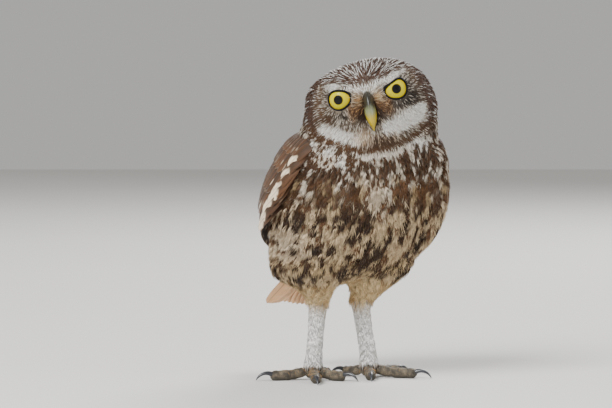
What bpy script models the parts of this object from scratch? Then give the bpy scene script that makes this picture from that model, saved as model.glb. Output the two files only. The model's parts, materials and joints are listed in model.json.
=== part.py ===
"""A little owl standing on two feet, life size, as separate closed solids for its parts.

Lengths are in millimetres while the parts are shaped, and each mesh is scaled to metres when it
becomes a node. The bird's own frame is (ahead, aside, up): ahead is where the breast points, aside
is the bird's left, and up starts at the floor. The face looks along -Y, and the breast is turned
from it towards +X.
"""

import math
import random
from collections import namedtuple

import bmesh
import bpy
from mathutils import Matrix, Vector

MM = 0.001
GAP = 0.3
BODY_TURN = math.radians(22)
AHEAD = Vector((math.sin(BODY_TURN), -math.cos(BODY_TURN), 0))
ASIDE = Vector((math.cos(BODY_TURN), math.sin(BODY_TURN), 0))
UP = Vector((0, 0, 1))
BODY_TURNED = Matrix.Rotation(BODY_TURN, 3, "Z")

# Rings of the neck and torso, from the throat to the vent: the centre (ahead, aside, up), the tilt
# of the ring in degrees, its half width, and its depth to the breast and to the back.
TORSO_RINGS = (
    (13, 5, 172, 0, 35.5, 10, 29),
    (13, 5, 165, 0, 39.2, 17, 31.5),
    (13, 5, 157, 2, 41.4, 31, 34.3),
    (12, 4.5, 148, 8, 44, 36, 36.5),
    (8, 2.5, 134, 16, 47.5, 41, 40),
    (3, 1, 119, 22, 51, 44, 42),
    (-4, 0, 104, 27, 51.5, 44, 41),
    (-12, -1, 90, 32, 50, 40.5, 37),
    (-22, -1.5, 78, 38, 46, 31, 30),
    (-34, -1, 68, 44, 34, 18, 21),
    (-45, 0, 61, 48, 22, 10.5, 13.5),
    (-53, 0, 56, 50, 13, 6.5, 8),
    (-57, 0, 53.5, 50, 6, 3, 4),
)
TORSO_SQUARENESS = 2.15

# Rings of the shell that the folded wings lie on, from the shoulders to the wing tips.
WING_RINGS = (
    (12, 6, 149, 6, 41, 36, 37),
    (7.5, 4.5, 137, 16, 48.2, 41, 43),
    (1.5, 3.2, 121, 23, 54, 44, 46.5),
    (-7, 2, 105, 29, 57, 45, 46),
    (-18, 0.8, 91, 35, 53.5, 40, 42),
    (-32, 0, 80, 40, 45, 30, 35),
    (-47, -1, 73, 42, 33, 18, 22),
    (-62, -1.5, 67, 42, 21, 8, 11),
    (-77, -2, 61, 42, 11, 3, 5),
)

# Where the head, neck and torso part: a point, and the lean of the cut there.
NECK_CUT = (12, 4, 147)
NECK_CUT_LEAN = math.radians(12)
NECK_CUT_ROLL = math.radians(5)
CHEST_CUT = (8, 2, 132)
CHEST_CUT_LEAN = math.radians(14)

# The head, in its own frame: x to the bird's left, y back from the face, z up.
HEAD_CENTRE = (14, 4.6, 170)
HEAD_ROLL = math.radians(11)
HEAD_TURN = math.radians(-3.7)
HEAD_NOD = math.radians(2)
HEAD_HALF = Vector((38.5, 31, 26))
CHIN_DROP = 8
CHIN_SPREAD = 0.06
# How square the head is seen from any side, at the crown and at the chin: 2 is an ellipse.
CROWN_SQUARENESS = 2.08
CHIN_SQUARENESS = 2.45
EYE_SPREAD = 15.7
EYE_HEIGHT = 4.6
EYE_DEPTH = -20.6
EYE_RADIUS = 8.4
EYE_OUTWARD = math.radians(14)
# Hills and hollows of the face: across from its middle, up, half width, half height, and rise.
FACE_RELIEF = (
    (EYE_SPREAD, EYE_HEIGHT, 9.5, 9, -3.4),
    (12, -12, 9, 8, 2.6),
    (0, -4, 6, 12, 2.2),
)
BROW_OVER_EYE = 8.5
BROW_SLOPE = 0.16
BROW_RISE = 3.4
DISC_HALF = (30, 25)
DISC_GROOVE = 1.6
# The lids' rim: its radius, how high it reaches under the brow, and its own half thickness.
LID_RADIUS = 7.2
LID_TOP = 5.5
LID_THICK = 1.0
BILL_BASE = Vector((0, -24, 2.5))
BILL_LENGTH = 23
BILL_START = math.radians(12)
BILL_BEND = math.radians(96)
BILL_REACH = 0.72
BILL_RIDGE = 0.12
# Half width and half depth of the upper bill, from the cere to the point.
BILL_ROWS = (
    (2.6, 3.5),
    (3.4, 5.2),
    (4.2, 5.8),
    (4.9, 5.8),
    (5.0, 5.2),
    (4.0, 4.2),
    (2.3, 2.7),
    (0.5, 0.6),
)
# The lower bill: distance ahead and height in the head's frame, and radius, from throat to tip.
LOWER_BILL_ROWS = ((25, -9, 4.2), (28.5, -11.5, 3.6), (31, -13.8, 2.4), (32.4, -15.4, 1.0))
NOSTRIL_PLACE = (3.6, -31.4, -0.4)
NOSTRIL_RADIUS = 1.1

LEGS = {
    "left": {"hip": (-3, 20, 80), "heel": (-14, 9.5, 48), "ankle": (-6, 12.1, 9)},
    "right": {"hip": (-3, -23, 80), "heel": (-14, -18, 48), "ankle": (-6, -24.5, 9)},
}
THIGH_SHARES = (0, 0.3, 0.6, 0.85, 1)
THIGH_RADII = (23, 21, 16, 11, 8.2)
SHANK_SHARES = (0, 0.25, 0.5, 0.78, 1.02)
SHANK_RADII = (7.4, 6.6, 6.2, 6.2, 6.8)
FOOT_RADIUS = 6.6
FOOT_DROP = 2.2
# Each toe: its heading on the floor in degrees from +X, and its length without the claw.
TOES = {
    "left": {"hind": (150, 12), "inner": (-88, 16), "middle": (-14, 24), "outer": (42, 19)},
    "right": {"hind": (66, 12), "inner": (-30, 16), "middle": (-86, 21), "outer": (-164, 21)},
}
TOE_START = 6.0
TOE_RADIUS = 3.2
TOE_FLAT = 0.6
TOE_ARCH = 2.4
# A toe from its root to its tip: the share of its length, and its girth there with its pads.
TOE_ROWS = ((0, 0.84), (0.2, 0.94), (0.38, 0.88), (0.55, 1.06), (0.72, 0.9), (0.9, 1.02), (1, 0.6))
TOE_SIDES = 8
CLAW_LENGTH = 11
CLAW_RADIUS = 1.7
CLAW_TIP = 0.22
CLAW_STEPS = 5
CLAW_SIDES = 6
CLAW_RISE = math.radians(30)
CLAW_SWEEP = math.radians(100)

# The wing's body lies this far under its shell, and each feather's root goes this far under it.
WING_SUNK = 2.1
ROOT_SUNK = 3.4
VANE_THICK = 0.6
VANE_RIDGE = 0.35
WING_CORE_ROWS = (0.25, 6.2)
WING_CORE_LOW = (68, 108)
WING_CORE_HIGH = (176, 146)
WING_CORE_THICK = (8.9, 3.4)

# The feathers of a folded wing, tier by tier: how many, the first and last root and the first and
# last tip as rows of WING_RINGS and degrees round it, the bow of the row of tips, the half width,
# the lift over the shell, the tilt in degrees, and the steps along each feather.
Tier = namedtuple("Tier", "count roots tips bow half lift tilt steps")
WING_TIERS = (
    Tier(5, ((2.1, 79), (2.6, 99)), ((6.9, 123), (6.7, 162)), 0.9, 5.2, -0.7, 17, 4),
    Tier(6, ((2.3, 101), (2.9, 153)), ((6.2, 127), (5.4, 173)), 0.0, 5.9, -0.4, 10, 4),
    Tier(2, ((2.3, 161), (2.1, 168)), ((5.0, 173), (4.5, 177)), 0.0, 6.2, 0.5, 8, 4),
    Tier(5, ((1.5, 76), (1.9, 149)), ((3.5, 87), (3.7, 156)), 0.1, 8.0, 0.8, 5, 3),
    Tier(5, ((0.8, 73), (1.0, 142)), ((2.3, 80), (2.5, 150)), 0.0, 7.6, 1.7, 4, 3),
    Tier(4, ((0.3, 80), (0.4, 138)), ((1.4, 82), (1.5, 140)), 0.0, 8.2, 2.4, 4, 3),
    Tier(4, ((0.3, 156), (1.5, 171)), ((2.0, 160), (3.6, 175)), 0.0, 6.8, 2.2, 5, 3),
)

TAIL_ROOT = (-40, -1.5, 77)
TAIL_TIP = (-87, -11, 43)
TAIL_FEATHERS = 12
TAIL_STEPS = 4
TAIL_HALF_ROOT = 5
TAIL_HALF_FAN = 14
TAIL_HALF_WIDTH = 5.2
TAIL_DROP = 0.75
TAIL_STAGGER = 0.35
TAIL_ROUNDING = 0.06
STUMP_SIDES = 14

COLOURS = {
    "plumage": ((0.30, 0.20, 0.13, 1), 0.85),
    "wing": ((0.25, 0.16, 0.10, 1), 0.8),
    "pale": ((0.72, 0.62, 0.48, 1), 0.85),
    "white": ((0.82, 0.80, 0.76, 1), 0.85),
    "eye": ((0.85, 0.62, 0.02, 1), 0.1),
    "bill": ((0.55, 0.55, 0.25, 1), 0.4),
    "toe": ((0.30, 0.28, 0.22, 1), 0.7),
    "claw": ((0.04, 0.04, 0.05, 1), 0.35),
}


def material(name):
    """The Principled material of this colour name, made once."""
    found = bpy.data.materials.get(name)
    if found:
        return found
    colour, roughness = COLOURS[name]
    made = bpy.data.materials.new(name)
    made.use_nodes = True
    shader = made.node_tree.nodes["Principled BSDF"]
    shader.inputs["Base Color"].default_value = colour
    shader.inputs["Roughness"].default_value = roughness
    shader.inputs["Metallic"].default_value = 0
    return made


def place(ahead, aside, up):
    """A point of the bird's own frame in the model's frame."""
    return AHEAD * ahead + ASIDE * aside + UP * up


def between(ends, share):
    """A number this share of the way between two ends."""
    return ends[0] + (ends[1] - ends[0]) * share


def blend_rows(rows, t):
    """A smooth curve through rows of numbers, read at t rows from the first."""
    last = len(rows) - 1
    t = min(max(t, 0.0), last)
    i = min(int(t), last - 1)
    f = t - i
    before, start, end, after = (rows[min(max(i + k, 0), last)] for k in (-1, 0, 1, 2))
    return [
        0.5 * (2 * b + (c - a) * f + (2 * a - 5 * b + 4 * c - d) * f * f + (3 * b - a - 3 * c + d) * f**3)
        for a, b, c, d in zip(before, start, end, after)
    ]


def ring_point(rows, t, around, grow=0.0):
    """A point of a ringed body: around is 0 at the breast, 90 at the left side and 180 at the back."""
    ahead, aside, up, tilt, wide, front, back = blend_rows(rows, t)
    angle, tilt = math.radians(around), math.radians(tilt)
    power = 2 / TORSO_SQUARENESS
    cos, sin = math.cos(angle), math.sin(angle)
    depth = (front if cos > 0 else back) + grow
    out = math.copysign(abs(cos) ** power, cos) * depth
    side = math.copysign(abs(sin) ** power, sin) * (wide + grow)
    return place(ahead + out * math.cos(tilt), aside + side, up - out * math.sin(tilt))


def mesh_object(name, points, faces):
    """An object of these points and faces, with its faces turned outwards."""
    mesh = bpy.data.meshes.new(name)
    mesh.from_pydata([tuple(p) for p in points], [], faces)
    shape = bmesh.new()
    shape.from_mesh(mesh)
    bmesh.ops.remove_doubles(shape, verts=shape.verts, dist=1e-4)
    bmesh.ops.triangulate(shape, faces=shape.faces)
    bmesh.ops.recalc_face_normals(shape, faces=shape.faces)
    if shape.calc_volume(signed=True) < 0:
        bmesh.ops.reverse_faces(shape, faces=shape.faces)
    shape.to_mesh(mesh)
    shape.free()
    obj = bpy.data.objects.new(name, mesh)
    bpy.context.scene.collection.objects.link(obj)
    return obj


def loft(name, rings):
    """A closed body through rings of equally many points, with a fan over each end."""
    count = len(rings[0])
    points = [p for ring in rings for p in ring]
    faces = [
        (r * count + k, r * count + (k + 1) % count, (r + 1) * count + (k + 1) % count, (r + 1) * count + k)
        for r in range(len(rings) - 1)
        for k in range(count)
    ]
    for ring, start in ((rings[0], 0), (rings[-1], (len(rings) - 1) * count)):
        centre = sum(ring, Vector()) / count
        points.append(centre)
        faces += [(start + k, start + (k + 1) % count, len(points) - 1) for k in range(count)]
    return mesh_object(name, points, faces)


def tube(name, centres, radii, sides):
    """A closed round body along centres, with rings square to its run."""
    rings = []
    for i, (centre, radius) in enumerate(zip(centres, radii)):
        run = centres[min(i + 1, len(centres) - 1)] - centres[max(i - 1, 0)]
        run.normalize()
        across = run.cross(Vector((0.13, 0.21, 1)) if abs(run.z) < 0.9 else AHEAD).normalized()
        over = run.cross(across)
        rings.append(
            [
                centre
                + across * (radius * math.cos(math.tau * k / sides))
                + over * (radius * math.sin(math.tau * k / sides))
                for k in range(sides)
            ]
        )
    return loft(name, rings)


def ball(name, centre, radius, rings=14, sides=20, axis=UP):
    """A closed sphere with its poles on axis."""
    turn = UP.rotation_difference(axis).to_matrix()
    rows = []
    for r in range(1, rings):
        lean = math.pi * r / rings
        rows.append(
            [
                centre
                + turn
                @ Vector(
                    (
                        radius * math.sin(lean) * math.cos(math.tau * k / sides),
                        radius * math.sin(lean) * math.sin(math.tau * k / sides),
                        radius * math.cos(lean),
                    )
                )
                for k in range(sides)
            ]
        )
    return loft(name, rows)


def applied(obj):
    """Gives the object the mesh that its modifiers make, and removes them."""
    graph = bpy.context.evaluated_depsgraph_get()
    result = bpy.data.meshes.new_from_object(obj.evaluated_get(graph))
    obj.modifiers.clear()
    obj.data = result
    return obj


def joined(obj, others, solver="EXACT"):
    """The object with all of the others fused to it by one Boolean, which removes them."""
    group = bpy.data.collections.new("pieces")
    bpy.context.scene.collection.children.link(group)
    for other in others:
        bpy.context.scene.collection.objects.unlink(other)
        group.objects.link(other)
    join = obj.modifiers.new("join", "BOOLEAN")
    join.operation = "UNION"
    join.operand_type = "COLLECTION"
    join.collection = group
    join.solver = solver
    applied(obj)
    for other in others:
        bpy.data.objects.remove(other)
    bpy.data.collections.remove(group)
    return obj


def cut(obj, cutters):
    """The object less each of these cutters, which are removed."""
    for cutter in cutters:
        take = obj.modifiers.new("cut", "BOOLEAN")
        take.operation = "DIFFERENCE"
        take.object = cutter
        take.solver = "EXACT"
        applied(obj)
        bpy.data.objects.remove(cutter)
    return obj


def keep_largest(obj):
    """Leaves only the largest closed surface of the mesh, as triangles."""
    shape = bmesh.new()
    shape.from_mesh(obj.data)
    bmesh.ops.remove_doubles(shape, verts=shape.verts, dist=1e-3)
    unseen, groups = set(shape.verts), []
    while unseen:
        group, stack = set(), [unseen.pop()]
        while stack:
            vert = stack.pop()
            group.add(vert)
            for edge in vert.link_edges:
                other = edge.other_vert(vert)
                if other in unseen:
                    unseen.remove(other)
                    stack.append(other)
        groups.append(group)
    groups.sort(key=len)
    loose = [vert for group in groups[:-1] for vert in group]
    bmesh.ops.delete(shape, geom=loose, context="VERTS")
    bmesh.ops.triangulate(shape, faces=shape.faces)
    shape.to_mesh(obj.data)
    shape.free()
    return obj


def box(name, centre, half, turn=None):
    """A closed box, turned by a rotation matrix."""
    corners = [Vector((x, y, z)) for x in (-1, 1) for y in (-1, 1) for z in (-1, 1)]
    turn = turn or Matrix.Identity(3)
    points = [centre + turn @ Vector([c * h for c, h in zip(corner, half)]) for corner in corners]
    faces = [(0, 1, 3, 2), (4, 6, 7, 5), (0, 4, 5, 1), (2, 3, 7, 6), (0, 2, 6, 4), (1, 5, 7, 3)]
    return mesh_object(name, points, faces)


# The head's frame
HEAD_PLACE = place(*HEAD_CENTRE)
HEAD_LEANT = Matrix.Rotation(-HEAD_ROLL, 3, "Y") @ Matrix.Rotation(HEAD_NOD, 3, "X")
HEAD_TURNED = Matrix.Rotation(HEAD_TURN, 3, "Z") @ HEAD_LEANT


def on_head(local):
    """A point of the head's frame in the model's frame."""
    return HEAD_PLACE + HEAD_TURNED @ Vector(local)


def bump(x, z, at_x, at_z, wide, high):
    """A smooth hill of height 1, this wide and high."""
    return math.exp(-(((x - at_x) / wide) ** 2) - ((z - at_z) / high) ** 2)


def head_surface(lean, around, grow=0.0):
    """A point of the head: lean runs from the crown down, around from the left ear to the face."""
    x = math.sin(lean) * math.cos(around)
    y = -math.sin(lean) * math.sin(around)
    z = math.cos(lean)
    half = HEAD_HALF + Vector((grow, grow, grow))
    power = between((CROWN_SQUARENESS, CHIN_SQUARENESS), min(max(0.4 - z, 0), 1))
    size = (abs(x) ** power + abs(y) ** power + abs(z) ** power) ** (-1 / power)
    point = Vector((x * half.x * size, y * half.y * size, z * half.z * size))
    if z < 0:
        point.z -= CHIN_DROP * z * z
        point.x *= 1 + CHIN_SPREAD * z * z
    if y < 0:
        side = abs(point.x)
        relief = sum(rise * bump(side, point.z, *place_and_size) for *place_and_size, rise in FACE_RELIEF)
        brow = point.z - EYE_HEIGHT - BROW_OVER_EYE - BROW_SLOPE * (side - 6)
        relief += BROW_RISE * math.exp(-((brow / 3.4) ** 2)) * math.exp(-(((side - 15) / 15) ** 4))
        rim = math.hypot((side - 4) / DISC_HALF[0], (point.z + 5) / DISC_HALF[1])
        relief -= DISC_GROOVE * math.exp(-(((rim - 1.08) / 0.18) ** 2))
        point.y -= relief * min(1.0, -y * 2.2)
    return on_head(point)


def head_body(name, grow=0.0, rings=24, face_sides=28, back_sides=9):
    """The head as a closed body, with more points over the face than over the back."""
    around = [math.pi * k / face_sides for k in range(face_sides)]
    around += [math.pi + math.pi * k / back_sides for k in range(back_sides)]
    rows = [[head_surface(math.pi * r / rings, a, grow) for a in around] for r in range(1, rings)]
    return loft(name, rows)


def torso_body(name, grow=0.0, steps=2, sides=28):
    """The neck and torso as one closed body."""
    count = (len(TORSO_RINGS) - 1) * steps
    rows = [
        [ring_point(TORSO_RINGS, i / steps, 360 * k / sides, grow) for k in range(sides)]
        for i in range(count + 1)
    ]
    return loft(name, rows)


def eye_place(side):
    """The middle of the eye on this side."""
    return on_head((side * EYE_SPREAD, EYE_DEPTH, EYE_HEIGHT))


def eye_look(side):
    """The way the eye on this side points."""
    return HEAD_TURNED @ Vector((side * math.sin(EYE_OUTWARD), -math.cos(EYE_OUTWARD), 0))


def lid_ring(side):
    """The rim of the lids: a ring on the front of the eye, flattened above by the brow."""
    look = eye_look(side)
    sideways = look.cross(UP).normalized()
    over = sideways.cross(look)
    reach = EYE_RADIUS + 0.25
    rows, around, sides = [], 18, 5
    for i in range(around):
        angle = math.tau * i / around
        high = math.sin(angle)
        wide = LID_RADIUS if high < 0 else min(LID_RADIUS, LID_TOP / max(high, 0.01))
        out = sideways * math.cos(angle) + over * high
        centre = eye_place(side) + out * wide + look * math.sqrt(reach**2 - wide**2)
        away = (centre - eye_place(side)).normalized()
        row = []
        for k in range(sides):
            swing = math.tau * k / sides
            row.append(centre + (out * math.cos(swing) + away * math.sin(swing)) * LID_THICK)
        rows.append(row)
    points = [p for row in rows for p in row]
    faces = []
    for i in range(around):
        start, after = i * sides, (i + 1) % around * sides
        for k in range(sides):
            beside = (k + 1) % sides
            faces.append((start + k, start + beside, after + beside, after + k))
    return mesh_object("lid", points, faces)


def bill_run(share):
    """The bill's centre line, hooked down from the brow, at a share of its length."""
    swing = BILL_START + BILL_BEND * share
    radius = BILL_LENGTH / BILL_BEND
    down = radius * (math.cos(BILL_START) - math.cos(swing))
    ahead = radius * (math.sin(swing) - math.sin(BILL_START))
    return BILL_BASE - Vector((0, ahead * BILL_REACH, down))


def bill_upper(name, grow=0.0):
    """The hooked upper bill, ridged along its top, from the cere to the point."""
    steps, sides, rows = 8, 10, []
    for i in range(steps + 1):
        share = i / steps
        run = (bill_run(min(share + 0.02, 1)) - bill_run(max(share - 0.02, 0))).normalized()
        top = Vector((0, run.z, -run.y))
        if top.y > 0:
            top = -top
        wide, deep = (half + grow for half in blend_rows(BILL_ROWS, share * (len(BILL_ROWS) - 1)))
        row = []
        for k in range(sides):
            angle = math.tau * k / sides
            ridge = 1 + BILL_RIDGE * max(0.0, math.cos(angle)) ** 4
            beside = Vector((wide * math.sin(angle), 0, 0))
            row.append(on_head(bill_run(share) + beside + top * (deep * ridge * math.cos(angle))))
        rows.append(row)
    return loft(name, rows)


def bill_lower(name, grow=0.0):
    """The short lower bill, under and behind the upper one."""
    centres = [on_head((0, -ahead, up)) for ahead, up, _ in LOWER_BILL_ROWS]
    return tube(name, centres, [radius + grow for _, _, radius in LOWER_BILL_ROWS], 8)


def finish(obj, name, colour):
    """Scales a shaped piece to metres and makes it the node of this name."""
    keep_largest(obj)
    obj.data.transform(Matrix.Scale(MM, 4))
    obj.name = name
    obj.data.name = name
    obj.data.materials.clear()
    obj.data.materials.append(material(colour))
    obj.data.shade_smooth()
    obj.data.set_sharp_from_angle(angle=math.radians(50))
    return obj


def head_neck_torso():
    """One body of head, neck and torso, parted by two thin cuts."""
    nodes = []
    neck_cut = place(*NECK_CUT)
    neck_turn = Matrix.Rotation(-NECK_CUT_ROLL, 3, "Y") @ Matrix.Rotation(NECK_CUT_LEAN, 3, "X")
    chest_cut = place(*CHEST_CUT)
    chest_turn = Matrix.Rotation(CHEST_CUT_LEAN, 3, ASIDE)
    reach = 120
    spans = {
        "head": (neck_cut, neck_turn, None, None),
        "neck": (chest_cut, chest_turn, neck_cut, neck_turn),
        "torso": (None, None, chest_cut, chest_turn),
    }
    for name, (below, below_turn, above, above_turn) in spans.items():
        whole = joined(torso_body(name), [head_body("crown")])
        keep_largest(whole)
        cuts = []
        if below:
            down = below_turn @ Vector((0, 0, GAP / 2 - reach))
            cuts.append(box("under", below + down, (reach, reach, reach), below_turn))
        if above:
            lift = above_turn @ Vector((0, 0, reach - GAP / 2))
            cuts.append(box("over", above + lift, (reach, reach, reach), above_turn))
        if name == "head":
            joined(whole, [lid_ring(1), lid_ring(-1)])
            cuts += [ball("socket", eye_place(s), EYE_RADIUS + GAP, 11, 18, eye_look(s)) for s in (1, -1)]
            cuts += [bill_upper("mouth", GAP), bill_lower("throat", GAP)]
        cut(whole, cuts)
        nodes.append(finish(whole, name, "plumage"))
    return nodes


def eyes_and_bill():
    """The two eyes in their sockets and the two halves of the bill."""
    nodes = []
    for side, name in ((1, "eye_left"), (-1, "eye_right")):
        nodes.append(finish(ball(name, eye_place(side), EYE_RADIUS, 11, 18, eye_look(side)), name, "eye"))
    upper = bill_upper("bill_upper")
    across, ahead, up = NOSTRIL_PLACE
    cut(upper, [ball("nostril", on_head((s * across, ahead, up)), NOSTRIL_RADIUS, 6, 8) for s in (1, -1)])
    nodes.append(finish(upper, "bill_upper", "bill"))
    lower = cut(bill_lower("bill_lower"), [bill_upper("over", GAP)])
    nodes.append(finish(lower, "bill_lower", "bill"))
    return nodes


def vane(centres, acrosses, overs, halves):
    """A feather's vane: a thin plate through these centres, ridged along its shaft."""
    rows = []
    for centre, across, over, half in zip(centres, acrosses, overs, halves):
        rows.append(
            [
                centre + across * half,
                centre + over * VANE_RIDGE,
                centre - across * half,
                centre - across * half - over * VANE_THICK,
                centre + across * half - over * VANE_THICK,
            ]
        )
    return loft("vane", rows)


def vane_half(share, half):
    """A vane's half width: narrow at the root, widest past its middle, round at the tip."""
    root = min(1.0, 0.5 + 1.6 * share)
    tip = math.sqrt(max(0.0, 1 - max(0.0, (share - 0.62) / 0.38) ** 2.4))
    return half * max(root * tip, 0.22)


def wing_vane(side, root, tip, tier):
    """One wing feather from root to tip, its outer edge raised over the next feather."""

    def spot(share, grow=0.0):
        t = root[0] + (tip[0] - root[0]) * share
        around = root[1] + (tip[1] - root[1]) * share
        return ring_point(WING_RINGS, t, side * around, grow)

    centres, acrosses, overs, halves = [], [], [], []
    tilt = math.radians(tier.tilt)
    for i in range(tier.steps + 1):
        share = i / tier.steps
        rise = min(share / 0.55, 1.0)
        height = tier.lift - (ROOT_SUNK + tier.lift) * (1 - rise) ** 2
        run = (spot(share + 0.02) - spot(share - 0.02)).normalized()
        out = (spot(share, 1) - spot(share)).normalized()
        across = run.cross(out).normalized() * side
        over = across.cross(run).normalized() * side
        centres.append(spot(share, height))
        acrosses.append(across * math.cos(tilt) + over * math.sin(tilt))
        overs.append(over * math.cos(tilt) - across * math.sin(tilt))
        halves.append(vane_half(share, tier.half))
    return vane(centres, acrosses, overs, halves)


def wing_feathers(side):
    """Every vane of a folded wing, tier by tier."""
    draw = random.Random(31 + side)
    vanes = []
    for tier in WING_TIERS:
        for i in range(tier.count):
            share = i / (tier.count - 1)
            root = [a + (b - a) * share for a, b in zip(*tier.roots)]
            tip = [a + (b - a) * share for a, b in zip(*tier.tips)]
            tip[0] += tier.bow * math.sin(math.pi * share) + draw.uniform(-0.06, 0.06)
            tip[1] += draw.uniform(-0.8, 0.8)
            vanes.append(wing_vane(side, root, tip, tier))
    return vanes


def wing_core(name, side):
    """The body of a folded wing: a plate over the side and back of the torso."""
    steps, across, rows = 7, 6, []
    for i in range(steps + 1):
        share = i / steps
        t = between(WING_CORE_ROWS, share)
        low = between(WING_CORE_LOW, share)
        high = between(WING_CORE_HIGH, max(0.0, (share - 0.62) / 0.38) ** 1.5)
        outer, inner = [], []
        for k in range(across + 1):
            around = side * between((low, high), k / across)
            edge = math.sin(math.pi * k / across) ** 0.5
            top = WING_SUNK * (0.6 * (1 - share) ** 2 - 1) - (1 - edge)
            thick = 2.4 + (between(WING_CORE_THICK, share) - 2.4) * edge
            outer.append(ring_point(WING_RINGS, t, around, top))
            inner.append(ring_point(WING_RINGS, t, around, top - thick))
        rows.append(outer + inner[::-1])
    return loft(name, rows)


def wing(side, name):
    """A folded wing, cut clear of the torso, the head, the tail and the other wing."""
    whole = joined(wing_core(name, side), wing_feathers(side), "MANIFOLD")
    half_space = Vector((60, 100, 120))
    middle = box("middle", -ASIDE * side * (half_space.x - GAP / 2) + UP * 90, half_space, BODY_TURNED)
    cut(whole, [torso_body("torso_room", GAP), head_body("head_room", GAP), tail_room(), middle])
    return finish(whole, name, "wing")


def tail_line():
    """The tail's root, its run to the tip, and the way its feathers face."""
    root, tip = place(*TAIL_ROOT), place(*TAIL_TIP)
    run = (tip - root).normalized()
    over = ASIDE.cross(run).normalized()
    return root, run, over if over.z > 0 else -over, (tip - root).length


def tail_block(name, near, far, grow=0.0):
    """The stump that the tail feathers grow from, as a flat cone along the tail."""
    root, run, over, length = tail_line()
    across = run.cross(over).normalized()
    rows = []
    for share in (near, (near + far) / 2, far):
        wide = 8 + 12 * share + grow
        thick = 3.4 - 3.0 * share + grow
        rows.append(
            [
                root
                + run * (length * share)
                - over * 1.0
                + across * (wide * math.cos(math.tau * k / STUMP_SIDES))
                + over * (thick * math.sin(math.tau * k / STUMP_SIDES))
                for k in range(STUMP_SIDES)
            ]
        )
    return loft(name, rows)


def tail_room():
    """The space round the tail that the wings keep clear of."""
    return tail_block("tail_room", -0.05, 1.1, 2.6)


def tail(name):
    """The tail feathers fanned from their stump, the middle pair uppermost."""
    root, run, over, length = tail_line()
    across = run.cross(over).normalized()
    vanes = []
    shares = [i / TAIL_STEPS for i in range(TAIL_STEPS + 1)]
    middle = (TAIL_FEATHERS - 1) / 2
    for i in range(TAIL_FEATHERS):
        beside = i - middle
        share_out = beside / middle
        drop = abs(beside) * TAIL_DROP + (TAIL_STAGGER if beside < 0 else 0)
        foot = root + across * (share_out * TAIL_HALF_ROOT) - over * (abs(beside) * TAIL_DROP / 2)
        reach = length * (1 - TAIL_ROUNDING * share_out**2)
        end = root + run * reach + across * (share_out * TAIL_HALF_FAN) - over * drop
        along = (end - foot).normalized()
        wide = along.cross(over).normalized()
        facing = wide.cross(along).normalized()
        centres = [foot.lerp(end, share) for share in shares]
        halves = [vane_half(share, TAIL_HALF_WIDTH) for share in shares]
        count = len(shares)
        vanes.append(vane(centres, [wide] * count, [facing] * count, halves))
    whole = joined(tail_block(name, 0.0, 0.25), vanes, "MANIFOLD")
    cut(whole, [torso_body("torso_room", GAP)])
    return finish(whole, name, "wing")


def thigh_body(name, hip, heel, grow=0.0):
    """The feathered thigh, a cone with a round end at the heel."""
    run = heel - hip
    centres = [hip + run * share for share in THIGH_SHARES]
    radii = [radius + grow for radius in THIGH_RADII]
    end, last = run.normalized(), radii[-1]
    for swing in (40, 80):
        swing = math.radians(swing)
        centres.append(heel + end * (last * math.sin(swing)))
        radii.append(last * math.cos(swing))
    return tube(name, centres, radii, 18)


def foot_ball(ankle, grow=0.0):
    """The ball of the foot, which the toes meet."""
    return ball("foot", ankle - UP * FOOT_DROP, FOOT_RADIUS + grow, 7, 12)


def under_floor(height=0.0):
    """A cutter for whatever reaches under this height."""
    reach = 200
    return box("under_floor", UP * (height - reach), (reach, reach, reach))


def leg(side):
    """Thigh, shank, toes and claws of one leg."""
    hip, heel, ankle = (place(*LEGS[side][k]) for k in ("hip", "heel", "ankle"))
    nodes = []
    thigh = thigh_body("thigh_" + side, hip, heel)
    cut(thigh, [torso_body("torso_room", GAP)])
    nodes.append(finish(thigh, "thigh_" + side, "pale"))
    shank = tube("shank_" + side, [heel + (ankle - heel) * s for s in SHANK_SHARES], SHANK_RADII, 13)
    joined(shank, [foot_ball(ankle)])
    cut(shank, [under_floor(), thigh_body("thigh_room", hip, heel, GAP)])
    nodes.append(finish(shank, "shank_" + side, "white"))
    for toe_name, (heading, length) in TOES[side].items():
        nodes += toe(side, toe_name, ankle, math.radians(heading), length)
    return nodes


def toe(side, toe_name, ankle, heading, length):
    """One toe lying on the floor, with its claw."""
    out = Vector((math.cos(heading), math.sin(heading), 0))
    base = Vector((ankle.x, ankle.y, 0))
    centres, radii = [], []
    for share, girth in TOE_ROWS:
        height = TOE_RADIUS - TOE_FLAT + TOE_ARCH * (1 - share) ** 3 + 0.25 * share
        centres.append(base + out * (TOE_START + length * share) + UP * height)
        radii.append(girth * TOE_RADIUS)
    name = f"toe_{side}_{toe_name}"
    piece = tube(name, centres, radii, TOE_SIDES)
    cut(piece, [foot_ball(ankle, GAP), under_floor()])
    tip = centres[-1] + out * 0.2 + UP * 0.8
    bend = CLAW_LENGTH / CLAW_SWEEP
    claw_centres, claw_radii = [], []
    for i in range(CLAW_STEPS + 1):
        share = i / CLAW_STEPS
        swing = CLAW_RISE - CLAW_SWEEP * share
        along = bend * (math.sin(CLAW_RISE) - math.sin(swing))
        rise = bend * (math.cos(swing) - math.cos(CLAW_RISE))
        claw_centres.append(tip + out * along + UP * rise)
        claw_radii.append(CLAW_RADIUS * (1 - share) ** 0.8 + CLAW_TIP)
    claw = tube("claw", claw_centres, claw_radii, CLAW_SIDES)
    toe_room = tube("toe_room", centres, [radius + GAP for radius in radii], TOE_SIDES)
    cut(claw, [toe_room, under_floor(0.2)])
    return [finish(piece, name, "toe"), finish(claw, f"claw_{side}_{toe_name}", "claw")]


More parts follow.
